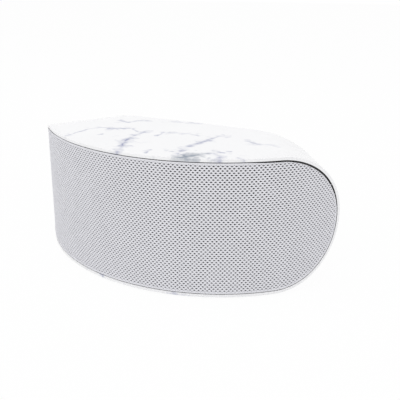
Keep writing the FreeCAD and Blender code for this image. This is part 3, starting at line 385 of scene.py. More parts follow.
@dataclass(frozen=True)
class MarblePrint:
    """Gloss ABS with a printed marble: white ground, soft lavender veins and a few deep blue-grey smears."""

    name: str = "gloss_abs_marble_print"
    ground: str = "#F9F9FA"
    cloud: str = "#F2F2F4"
    pale: str = "#767EAA"
    deep: str = "#1F4A6E"
    roughness: float = 0.24
    roughness_play: float = 0.05
    warp_mm: float = 1.6
    warp_grain_mm: float = 9.0
    warp_detail: float = 5.0
    streak_mm: Place = (10.0, 5.0, 10.0)
    streak_turn: float = math.radians(24.0)
    streak_detail: float = 2.0
    break_from: float = 0.36
    break_to: float = 0.58
    break_floor: float = 0.2
    smear_floor: float = 0.62
    vein_fade: float = 2.4
    feather_mm: float = 6.0
    feather_detail: float = 2.0
    feather_rough: float = 0.55
    feather_least: float = 0.4
    feather_most: float = 2.0
    cloud_mm: float = 40.0
    cloud_detail: float = 3.0
    top_from_mm: float = 44.0
    top_full_mm: float = 62.0
    ridge_mm: float = 48.0
    ridge_detail: float = 5.0
    ridge_width: float = 0.022
    ridge_strength: float = 0.55
    pale_veins: tuple[Vein, ...] = (
        Vein(2.6, 0.65, (
            (-50.6, -29.0), (-50.0, -22.8), (-50.1, -14.9), (-48.7, -4.7), (-45.1, 0.8), (-37.8, 1.9),
        )),
        Vein(4.4, 0.85, ((-37.8, 1.9), (-32.8, 4.4), (-27.6, 7.5))),
        Vein(3.0, 0.6, ((-25.7, 8.0), (-18.7, 1.7))),
        Vein(5.0, 0.8, ((-13.4, 6.3), (-15.7, -0.5), (-15.4, -9.9))),
        Vein(7.0, 1.0, ((-15.4, -9.9), (-14.1, -19.6), (-9.7, -30.0))),
        Vein(5.5, 0.7, ((-9.7, -30.0), (-5.5, -41.0))),
        Vein(4.5, 0.6, ((-44.7, 22.8), (-36.8, 20.0), (-34.6, 26.7), (-28.0, 29.5))),
        Vein(4.5, 0.45, ((-12.8, 35.0), (-1.6, 38.0), (3.7, 37.0))),
        Vein(3.0, 0.7, ((-4.0, -0.9), (-4.2, 4.5), (-4.6, 7.8))),
        Vein(3.6, 0.65, ((-0.6, 7.9), (3.4, 10.4), (10.2, 11.4), (17.9, 9.2))),
        Vein(4.0, 0.75, ((30.8, 15.9), (28.2, 14.5), (27.9, 8.2), (26.7, 1.8))),
        Vein(6.0, 0.8, ((26.7, 1.8), (24.4, -8.3), (22.9, -15.7), (23.1, -23.9), (25.8, -31.3))),
        Vein(3.4, 0.55, ((47.8, 12.2), (54.2, 9.0), (66.2, 9.9))),
        Vein(7.5, 0.4, ((37.9, -21.9), (39.9, -19.6), (45.3, -22.8), (48.2, -26.8))),
        Vein(6.0, 0.7, ((46.4, -25.5), (48.0, -28.5))),
        Vein(2.6, 0.8, ((42.2, -17.1), (45.7, -17.2))),
        Vein(2.4, 0.8, ((46.1, -12.8), (48.4, -12.0))),
        Vein(3.5, 0.5, ((55.5, -21.8), (60.4, -23.0))),
        Vein(2.4, 0.6, ((-36.0, -14.5), (-34.8, -13.1))),
        Vein(2.4, 0.6, ((7.3, -28.3), (9.1, -35.7))),
    )
    deep_veins: tuple[Vein, ...] = (
        Vein(8.0, 0.9, ((27.0, -35.8), (30.3, -34.0), (31.5, -31.2), (33.0, -29.4), (34.9, -26.3))),
        Vein(8.0, 1.0, ((27.6, -35.6), (29.8, -34.0), (31.0, -31.6))),
        Vein(4.0, 0.6, ((26.5, -32.7), (28.0, -29.0), (31.4, -24.4), (37.9, -21.9))),
    )

    def run_group(self) -> Tree:
        """Make the group that measures how far a point lies from a straight run of a vein.

        Returns:
            The group, with the point, the run's start, its course and one over its length squared.
        """
        vector = "NodeSocketVector"
        tree = new_tree(
            "vein_run", {"Point": vector, "Start": vector, "Course": vector, "Share": "NodeSocketFloat"},
            "NodeSocketFloat", "ShaderNodeTree",
        )
        given = add_node(tree, "NodeGroupInput").outputs
        away = add_node(tree, VECTOR_MATH, {0: given["Point"], 1: given["Start"]}, operation="SUBTRACT")
        along = add_node(tree, VECTOR_MATH, {0: away, 1: given["Course"]}, operation="DOT_PRODUCT")
        share = add_node(
            tree, MATH, {0: along.outputs["Value"], 1: given["Share"]}, operation="MULTIPLY", use_clamp=True
        )
        foot = add_node(tree, VECTOR_MATH, {0: given["Course"], "Scale": share}, operation="SCALE")
        reach = add_node(tree, VECTOR_MATH, {0: away, 1: foot}, operation="DISTANCE")
        add_node(tree, "NodeGroupOutput", {"Result": reach.outputs["Value"]})
        return tree

    def mask(
        self, tree: Tree, group: Tree, plan: Source, ragged: Source, veins: tuple[Vein, ...],
    ) -> Source:
        """Draw veins over the plan.

        Args:
            tree: The material's tree.
            group: The group that measures the way to a run.
            plan: The place seen from above, in millimetres.
            ragged: How much narrower a vein is at this place.
            veins: The veins.

        Returns:
            How strong the veins are, from 0 to 1.
        """
        total: Source | None = None
        for vein in veins:
            near: Source | None = None
            for start, end in zip(vein.route, vein.route[1:]):
                course = Vector((end[0] - start[0], end[1] - start[1], 0))
                run = add_node(tree, "ShaderNodeGroup", {
                    "Point": plan, "Start": (*start, 0), "Course": course, "Share": 1 / course.length_squared,
                }, node_tree=group)
                near = run if near is None else add_node(tree, MATH, {0: near, 1: run}, operation="MINIMUM")
            away = add_node(tree, MATH, {0: near, 1: ragged}, operation="MULTIPLY")
            drawn = add_node(tree, REMAP, {
                "Value": away, "From Max": vein.width,
                "To Min": vein.strength ** (1 / self.vein_fade), "To Max": 0.0,
            })
            total = drawn if total is None else add_node(
                tree, MATH, {0: total, 1: drawn}, operation="MAXIMUM"
            )
        return add_node(tree, MATH, {0: total, 1: self.vein_fade}, operation="POWER")

    def ridges(self, tree: Tree, place: Source) -> Source:
        """Draw faint free veins for the faces that the routes don't reach.

        Args:
            tree: The material's tree.
            place: Object coordinates in millimetres.

        Returns:
            How strong they are, from 0 to 1.
        """
        noise = add_node(
            tree, NOISE, {"Vector": place, "Scale": 1 / self.ridge_mm, "Detail": self.ridge_detail}
        )
        level = add_node(tree, MATH, {0: noise, 1: NOISE_MIDDLE}, operation="SUBTRACT")
        size = add_node(tree, MATH, {0: level}, operation="ABSOLUTE")
        return add_node(tree, REMAP, {
            "Value": size, "From Max": self.ridge_width, "To Min": self.ridge_strength, "To Max": 0.0,
        }, interpolation_type="SMOOTHSTEP")

    def wander(self, tree: Tree, place: Source) -> Source:
        """Shift the place a little, so that the veins wander, and look at it from above.

        Args:
            tree: The material's tree.
            place: Object coordinates in millimetres.

        Returns:
            The shifted place, at level 0.
        """
        wobble = add_node(
            tree, NOISE, {"Vector": place, "Scale": 1 / self.warp_grain_mm, "Detail": self.warp_detail}
        ).outputs["Color"]
        centred = add_node(tree, VECTOR_MATH, {0: wobble, 1: (NOISE_MIDDLE,) * 3}, operation="SUBTRACT")
        bent = add_node(
            tree, VECTOR_MATH, {0: centred, 1: (self.warp_mm * 2,) * 3, 2: place}, operation="MULTIPLY_ADD"
        )
        return add_node(tree, VECTOR_MATH, {0: bent, 1: (1, 1, 0)}, operation="MULTIPLY")

    def feather(self, tree: Tree, place: Source) -> Source:
        """Make the veins' edges ragged.

        Args:
            tree: The material's tree.
            place: Object coordinates in millimetres.

        Returns:
            How much narrower a vein is at this place.
        """
        noise = add_node(tree, NOISE, {
            "Vector": place, "Scale": 1 / self.feather_mm, "Detail": self.feather_detail,
            "Roughness": self.feather_rough,
        })
        return add_node(tree, REMAP, {
            "Value": noise, "From Min": self.break_from, "From Max": 1 - self.break_from,
            "To Min": self.feather_least, "To Max": self.feather_most,
        })

    def patches(self, tree: Tree, place: Source) -> tuple[Source, Source]:
        """Break the print up along slanted streaks.

        Args:
            tree: The material's tree.
            place: Object coordinates in millimetres.

        Returns:
            How much of the veins is left, and of the smears.
        """
        streaks = add_node(tree, "ShaderNodeMapping", {
            "Vector": place, "Rotation": (0, 0, self.streak_turn),
            "Scale": tuple(1 / length for length in self.streak_mm),
        })
        broken = add_node(tree, NOISE, {"Vector": streaks, "Scale": 1.0, "Detail": self.streak_detail})
        veins, smears = (
            add_node(tree, REMAP, {
                "Value": broken, "From Min": self.break_from, "From Max": self.break_to, "To Min": floor,
            })
            for floor in (self.break_floor, self.smear_floor)
        )
        return veins, smears

    def material(self) -> bpy.types.Material:
        """Build the material.

        Returns:
            The material.
        """
        material = bpy.data.materials.new(self.name)
        material.use_nodes = True
        tree = material.node_tree
        shader = tree.nodes["Principled BSDF"]
        metres = add_node(tree, "ShaderNodeTexCoord").outputs["Object"]
        place = add_node(tree, VECTOR_MATH, {0: metres, "Scale": PER_METRE}, operation="SCALE")
        top = add_node(tree, REMAP, {
            "Value": add_node(tree, SEPARATE, {0: place}).outputs["Z"],
            "From Min": self.top_from_mm, "From Max": self.top_full_mm,
        }, interpolation_type="SMOOTHSTEP")
        below = add_node(tree, MATH, {0: 1.0, 1: top}, operation="SUBTRACT")
        group = self.run_group()
        plan = self.wander(tree, place)
        ragged = self.feather(tree, place)
        pale, deep, free = (
            add_node(tree, MATH, {0: drawn, 1: share}, operation="MULTIPLY")
            for drawn, share in (
                (self.mask(tree, group, plan, ragged, self.pale_veins), top),
                (self.mask(tree, group, plan, ragged, self.deep_veins), top),
                (self.ridges(tree, place), below),
            )
        )
        vein_share, smear_share = self.patches(tree, place)
        lines = add_node(tree, MATH, {0: pale, 1: free}, operation="MAXIMUM")
        veins = add_node(tree, MATH, {0: lines, 1: vein_share}, operation="MULTIPLY")
        smears = add_node(tree, MATH, {0: deep, 1: smear_share}, operation="MULTIPLY")
        haze = add_node(
            tree, NOISE, {"Vector": place, "Scale": 1 / self.cloud_mm, "Detail": self.cloud_detail}
        )
        tone: object = linear(self.ground)
        for share, colour in ((haze, self.cloud), (veins, self.pale), (smears, self.deep)):
            tone = add_node(
                tree, MIX, {0: share, MIX_A: tone, MIX_B: linear(colour)}, data_type="RGBA"
            ).outputs[MIX_RESULT]
        gloss = add_node(tree, REMAP, {
            "Value": haze, "To Min": self.roughness - self.roughness_play,
            "To Max": self.roughness + self.roughness_play,
        })
        tree.links.new(tone, shader.inputs["Base Color"])
        tree.links.new(gloss.outputs[0], shader.inputs["Roughness"])
        return material


# What each slot of the record is made of.
FINISHES: dict[str, Finish | MarblePrint] = {
    # White gloss moulding with its print.
    "marble_shell": MarblePrint(),
    # Spark-eroded black ABS: a fine even grain that breaks up the shine.
    "black_plastic": Finish("black_abs_moulded", "#0B0B0C", "#121213", 0.42, grain_mm=0.6, relief_mm=0.04),
    # Powder paint on expanded steel: soft, slightly uneven, hardly any shine.
    "grille_mesh": Finish("grey_powder_paint", "#E8E8ED", "#E1E1E6", 0.55, grain_mm=0.4, relief_mm=0.02),
    # Silicone keys: dull, with a little dust sheen.
    "grey_keys": Finish("grey_silicone_moulded", "#55565A", "#4C4D51", 0.6, grain_mm=0.35, sheen=0.15),
    # Frosted acrylic light pipe.
    "light_lens": Finish("frosted_acrylic", "#DDE6F2", "#CFDAE8", 0.35, grain_mm=0.2, ior=1.49),
    # Bright nickel plating over turned or pressed steel.
    "plated_steel": Finish(
        "nickel_plate", "#C3C3C6", "#AFAFB4", 0.3, Grain.BRUSHED, 0.15, 0.006, 6.0, metallic=1.0
    ),
    # Glass-filled nylon of sockets and chips.
    "jack_plastic": Finish("black_nylon_moulded", "#101113", "#17181A", 0.5, grain_mm=0.3, ior=1.53),
    # Green solder mask over woven glass.
    "board_laminate": Finish(
        "green_solder_mask", "#1C5A34", "#134526", 0.32, Grain.WOVEN, 0.8, 0.02, 5.0, ior=1.55
    ),
    # Drawn aluminium cans.
    "capacitor_can": Finish(
        "drawn_aluminium", "#B7B9BD", "#A4A6AA", 0.34, Grain.BRUSHED, 0.2, 0.008, 4.0, metallic=1.0
    ),
    # Shrunk PVC film.
    "battery_wrap": Finish("blue_pvc_shrink_film", "#3E63A0", "#365890", 0.26, grain_mm=3.0, relief_mm=0.05),
    # Dark grey ABS inside the housing.
    "cradle_plastic": Finish("grey_abs_moulded", "#3B3C3E", "#333436", 0.5, grain_mm=0.6),
    # Soft moulded rubber, dull and slightly dusty.
    "foot_rubber": Finish(
        "dark_rubber_moulded", "#232325", "#2B2B2D", 0.8, grain_mm=0.5, relief_mm=0.05, sheen=0.1
    ),
    # Black electrocoat on pressed steel.
    "basket_steel": Finish("black_electrocoat", "#15151A", "#1C1C1F", 0.38, grain_mm=0.8, relief_mm=0.02),
    # Coated paper pulp with fibres.
    "cone_paper": Finish(
        "coated_paper_pulp", "#1D1D1F", "#272729", 0.75, grain_mm=0.9, relief_mm=0.08, ior=1.45
    ),
    # Butyl rubber rolls.
    "roll_rubber": Finish("butyl_rubber", "#161617", "#1C1C1D", 0.62, grain_mm=0.5, ior=1.52),
    # Closed-cell foam with visible cells.
    "foam": Finish("closed_cell_foam", "#1B1B1B", "#262626", 0.9, grain_mm=0.4, relief_mm=0.12, ior=1.4),
    # Resin-set cotton cloth.
    "spider_cloth": Finish(
        "resin_set_cloth", "#C79E55", "#B68C45", 0.8, Grain.WOVEN, 0.6, 0.08, 8.0, ior=1.48, sheen=0.3
    ),
    # Enamelled copper wire, laid side by side.
    "coil_copper": Finish(
        "enamelled_copper", "#C4703A", "#AE5F2E", 0.3, Grain.WOUND, 0.4, 0.05, 4.0, metallic=1.0
    ),
    # Yellow-white zinc on turned plates.
    "motor_steel": Finish(
        "zinc_plate", "#B6B5AE", "#A3A29C", 0.38, Grain.BRUSHED, 0.3, 0.01, 7.0, metallic=1.0
    ),
    # Sintered ferrite, ground flat.
    "magnet_ferrite": Finish(
        "sintered_ferrite", "#3A3A3D", "#303033", 0.6, grain_mm=0.3, relief_mm=0.04, ior=2.3
    ),
    # Black ABS of the radiator's plate and frame.
    "radiator_plastic": Finish("satin_abs_moulded", "#161617", "#1E1E1F", 0.46, grain_mm=0.5),
}
# White ink on the raised signs of the keys.
SIGN_INK = Finish("white_pad_print", "#D5D6D8", "#CBCCCE", 0.5, grain_mm=0.3)


@dataclass
class MeshFront:
    """The bulging mesh front: a sheet with staggered diamond holes, bent round the front's cylinder."""

    front_y: float = -40.0
    front_rise: float = 63.03
    front_recess: float = 0.1
    end_slant: float = math.radians(32.0)
    end_flat: float = 0.5
    border: float = 2.7
    sheet: float = 0.8
    hole_pitch: float = 2.35
    row_pitch: float = 2.47
    hole_width: float = 0.76
    hole_height: float = 0.4
    trim: float = 0.8
    hem_reach: float = 0.6
    hem: float = 0.85
    hem_sheet: float = 0.5
    hem_proud: float = 0.06
    corner_draw: float = 0.6
    draw_run: float = 22.0
    draw_share: float = 0.4
    end_steps: int = 48
    run_steps: int = 96
    radius: float = field(init=False)
    axis_y: float = field(init=False)
    middle: float = field(init=False)
    end_reach: float = field(init=False)
    end_round: float = field(init=False)

    def __post_init__(self) -> None:
        """Work the curve and the ends out from the sleeve's box."""
        low, high = (Vector(corner) * PER_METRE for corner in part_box("sleeve"))
        half_width = (high.x - low.x) / 2
        front = (half_width ** 2 + self.front_rise ** 2) / (2 * self.front_rise)
        self.radius = front - self.front_recess
        self.axis_y = self.front_y + front
        self.middle = (low.z + high.z) / 2
        tip = Vector((half_width, self.front_rise - front))
        across = tip.x * math.cos(self.end_slant) + tip.y * math.sin(self.end_slant)
        self.end_round = (high.z - low.z) / 2 - self.end_flat - self.border
        self.end_reach = across - self.end_round - self.border

    def lattice(self) -> Tree:
        """Build the tree that lays the holes, trims the sheet to its outline and bends it.

        Returns:
            The geometry tree.
        """
        numbers = (
            "Hole Pitch", "Row Pitch", "Hole Width", "Hole Height", "Radius", "Axis", "Middle", "Slant",
            "End Reach", "End Flat", "End Round", "Trim",
        )
        tree = new_tree("mesh_sheet", {
            **dict.fromkeys(numbers, "NodeSocketFloat"),
            "Cells": "NodeSocketInt", "Material": "NodeSocketMaterial",
        }, "NodeSocketGeometry")
        given = add_node(tree, "NodeGroupInput").outputs
        count = add_node(tree, MATH, {0: given["Cells"], 1: 1.0}, operation="ADD")
        grid = add_node(tree, "GeometryNodeMeshGrid", {
            "Size X": given["Cells"], "Size Y": given["Cells"], "Vertices X": count, "Vertices Y": count,
        })
        place = add_node(tree, "GeometryNodeInputPosition")
        flat = add_node(tree, SEPARATE, {0: place}).outputs
        across = add_node(tree, MATH, {0: flat["X"], 1: flat["Y"]}, operation="SUBTRACT")
        upward = add_node(tree, MATH, {0: flat["X"], 1: flat["Y"]}, operation="ADD")
        half_pitch = add_node(tree, MATH, {0: given["Hole Pitch"], 1: 0.5}, operation="MULTIPLY")
        half_row = add_node(tree, MATH, {0: given["Row Pitch"], 1: 0.5}, operation="MULTIPLY")
        spread = add_node(tree, COMBINE, {
            "X": add_node(tree, MATH, {0: across, 1: half_pitch}, operation="MULTIPLY"),
            "Y": add_node(tree, MATH, {0: upward, 1: half_row}, operation="MULTIPLY"),
        })
        laid = add_node(
            tree, "GeometryNodeSetPosition", {"Geometry": grid.outputs["Mesh"], "Position": spread}
        )
        out, trimmed_place = self.outline_nodes(tree, given, place)
        outside = add_node(tree, MATH, {0: out, 1: given["Trim"]}, operation="GREATER_THAN")
        kept = add_node(tree, "GeometryNodeDeleteGeometry", {
            "Geometry": laid, "Selection": outside,
        }, domain="FACE")
        trimmed = add_node(tree, "GeometryNodeSetPosition", {"Geometry": kept, "Position": trimmed_place})
        inset = add_node(tree, "GeometryNodeExtrudeMesh", {
            "Mesh": trimmed, "Offset Scale": 0.0, "Individual": True,
        }, mode="FACES")
        holes = inset.outputs["Mesh"]
        for axis, share in (((1, 0, 0), given["Hole Width"]), ((0, 1, 0), given["Hole Height"])):
            holes = add_node(tree, "GeometryNodeScaleElements", {
                "Geometry": holes, "Selection": inset.outputs["Top"], "Scale": share, "Axis": axis,
            }, domain="FACE", scale_mode="SINGLE_AXIS")
        pierced = add_node(tree, "GeometryNodeDeleteGeometry", {
            "Geometry": holes, "Selection": inset.outputs["Top"],
        }, domain="FACE")
        bent = self.bend_nodes(tree, given, flat)
        curved = add_node(tree, "GeometryNodeSetPosition", {"Geometry": pierced, "Position": bent})
        real = add_node(tree, "GeometryNodeRealizeInstances", {"Geometry": curved})
        dressed = add_node(tree, "GeometryNodeSetMaterial", {"Geometry": real, "Material": given["Material"]})
        add_node(tree, "NodeGroupOutput", {"Result": dressed})
        return tree

    def outline_nodes(
        self, tree: Tree, given: bpy.types.NodeOutputs, place: Source,
    ) -> tuple[Source, Source]:
        """Measure how far a place lies outside the outline, and the nearest place on it.

        Args:
            tree: The geometry tree.
            given: The tree's inputs.
            place: The place on the flat sheet.

        Returns:
            The distance past the outline, and the place pulled back onto it.
        """
        quarter = add_node(tree, VECTOR_MATH, {0: place}, operation="ABSOLUTE")
        flat = add_node(tree, SEPARATE, {0: quarter}).outputs
        turn = add_node(tree, MATH, {0: flat["X"], 1: given["Radius"]}, operation="DIVIDE")
        tilted = add_node(tree, MATH, {0: turn, 1: given["Slant"]}, operation="SUBTRACT")
        sine = add_node(tree, MATH, {0: tilted}, operation="SINE")
        side = add_node(tree, MATH, {0: sine, 1: given["Radius"]}, operation="MULTIPLY")
        spot = add_node(tree, COMBINE, {"X": side, "Y": flat["Y"]})
        core = add_node(tree, COMBINE, {"X": given["End Reach"], "Y": given["End Flat"]})
        past = add_node(tree, VECTOR_MATH, {0: spot, 1: core}, operation="SUBTRACT")
        over = add_node(tree, VECTOR_MATH, {0: past, 1: (0, 0, 0)}, operation="MAXIMUM")
        reach = add_node(tree, VECTOR_MATH, {0: over}, operation="LENGTH").outputs["Value"]
        out = add_node(tree, MATH, {0: reach, 1: given["End Round"]}, operation="SUBTRACT")
        excess = add_node(tree, MATH, {0: out, 1: 0.0}, operation="MAXIMUM")
        share = add_node(tree, MATH, {0: excess, 1: reach}, operation="DIVIDE")
        back = add_node(tree, VECTOR_MATH, {0: over, "Scale": share}, operation="SCALE")
        held = add_node(tree, VECTOR_MATH, {0: spot, 1: back}, operation="SUBTRACT")
        new = add_node(tree, SEPARATE, {0: held}).outputs
        new_sine = add_node(tree, MATH, {0: new["X"], 1: given["Radius"]}, operation="DIVIDE")
        new_tilt = add_node(tree, MATH, {0: new_sine}, operation="ARCSINE")
        new_turn = add_node(tree, MATH, {0: new_tilt, 1: given["Slant"]}, operation="ADD")
        new_span = add_node(tree, MATH, {0: new_turn, 1: given["Radius"]}, operation="MULTIPLY")
        moved = add_node(tree, COMBINE, {"X": new_span, "Y": new["Y"]})
        signs = add_node(tree, VECTOR_MATH, {0: place}, operation="SIGN")
        return out, add_node(tree, VECTOR_MATH, {0: moved, 1: signs}, operation="MULTIPLY")

    def bend_nodes(self, tree: Tree, given: bpy.types.NodeOutputs, flat: bpy.types.NodeOutputs) -> Source:
        """Bend the flat sheet round the front's cylinder.

        Args:
            tree: The geometry tree.
            given: The tree's inputs.
            flat: The place on the flat sheet.

        Returns:
            The place on the cylinder.
        """
        turn = add_node(tree, MATH, {0: flat["X"], 1: given["Radius"]}, operation="DIVIDE")
        sine = add_node(tree, MATH, {0: turn}, operation="SINE")
        cosine = add_node(tree, MATH, {0: turn}, operation="COSINE")
        forward = add_node(tree, MATH, {0: cosine, 1: given["Radius"]}, operation="MULTIPLY")
        return add_node(tree, COMBINE, {
            "X": add_node(tree, MATH, {0: sine, 1: given["Radius"]}, operation="MULTIPLY"),
            "Y": add_node(tree, MATH, {0: given["Axis"], 1: forward}, operation="SUBTRACT"),
            "Z": add_node(tree, MATH, {0: flat["Y"], 1: given["Middle"]}, operation="ADD"),
        })

    def edge(self, inset: float, draw: float = 0.0) -> list[Point]:
        """Walk round the outline of the flat sheet.

        Args:
            inset: How far inside the outline to walk, in millimetres.
            draw: How much further in the upper corners lie.

        Returns:
            The places on the flat sheet.
        """
        right: list[Point] = []
        for step in range(self.end_steps + 1):
            angle = math.pi * (step / self.end_steps - 0.5)
            round_end = self.end_round - inset - draw * self.ease(2 * angle / math.pi / self.draw_share)
            side = self.end_reach + round_end * math.cos(angle)
            rise = math.copysign(self.end_flat, angle) + round_end * math.sin(angle)
            right.append((self.radius * (self.end_slant + math.asin(side / self.radius)), rise))
        start = right[-1][0]
        height = self.end_flat + self.end_round - inset
        run = [start * (1 - 2 * step / self.run_steps) for step in range(1, self.run_steps)]
        top = [
            (across, height - draw * self.ease(1 - (start - abs(across)) / self.draw_run)) for across in run
        ]
        left = [(-across, rise) for across, rise in reversed(right)]
        return right + top + left + [(-across, -height) for across in run]

    def ease(self, share: float) -> float:
        """Step softly from 0 to 1.

        Args:
            share: How far along the step is.

        Returns:
            The height of the step.
        """
        held = min(max(share, 0.0), 1.0)
        return held * held * (3 - 2 * held)

    def bend(self, place: Point, proud: float) -> Vector:
        """Bend a place on the flat sheet round the cylinder, in metres.

        Args:
            place: The place on the flat sheet, in millimetres.
            proud: How far in front of the sheet it stands.

        Returns:
            The point.
        """
        across, rise = place
        turn = across / self.radius
        reach = self.radius + proud
        point = Vector((reach * math.sin(turn), self.axis_y - reach * math.cos(turn), self.middle + rise))
        return point * MM

    def build(self, material: bpy.types.Material) -> None:
        """Make the sheet and its hem.

        Args:
            material: The paint.
        """
        sheet = new_object("mesh_front", bpy.data.meshes.new("mesh_front"))
        tip = (self.end_reach + self.end_round) / self.radius
        half_length = self.radius * (self.end_slant + math.asin(tip))
        half_height = self.end_flat + self.end_round
        cells = 2 * math.ceil(half_length / self.hole_pitch + half_height / self.row_pitch)
        lengths = {
            "Hole Pitch": self.hole_pitch, "Row Pitch": self.row_pitch, "Radius": self.radius,
            "Axis": self.axis_y, "Middle": self.middle, "End Reach": self.end_reach,
            "End Flat": self.end_flat, "End Round": self.end_round, "Trim": self.trim,
        }
        run_tree(self.lattice(), sheet, {
            **{name: length * MM for name, length in lengths.items()},
            "Hole Width": self.hole_width, "Hole Height": self.hole_height, "Slant": self.end_slant,
            "Cells": cells, "Material": material,
        })
        self.thicken(sheet, self.sheet)
        finish_piece(sheet, HOUSING, "grille_mesh", material)
        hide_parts("front_grille")
        outer = [self.bend(place, self.hem_proud) for place in self.edge(-self.hem_reach, self.corner_draw)]
        inner = [self.bend(place, self.hem_proud) for place in self.edge(self.hem - self.hem_reach)]
        faces = ring_faces(0, len(outer), len(outer))
        hem = new_object("mesh_hem", bpy.data.meshes.new("mesh_hem"))
        hem.data.from_pydata([tuple(point) for point in outer + inner], [], faces)
        self.thicken(hem, self.hem_sheet)
        finish_piece(hem, HOUSING, "grille_mesh", material)

    def thicken(self, piece: bpy.types.Object, wall: float) -> None:
        """Give a sheet its wall, behind its front face.

        Args:
            piece: The sheet.
            wall: The wall in millimetres.
        """
        solid = piece.modifiers.new("wall", "SOLIDIFY")
        solid.thickness = wall * MM
        solid.offset = -1.0
        settle(piece)


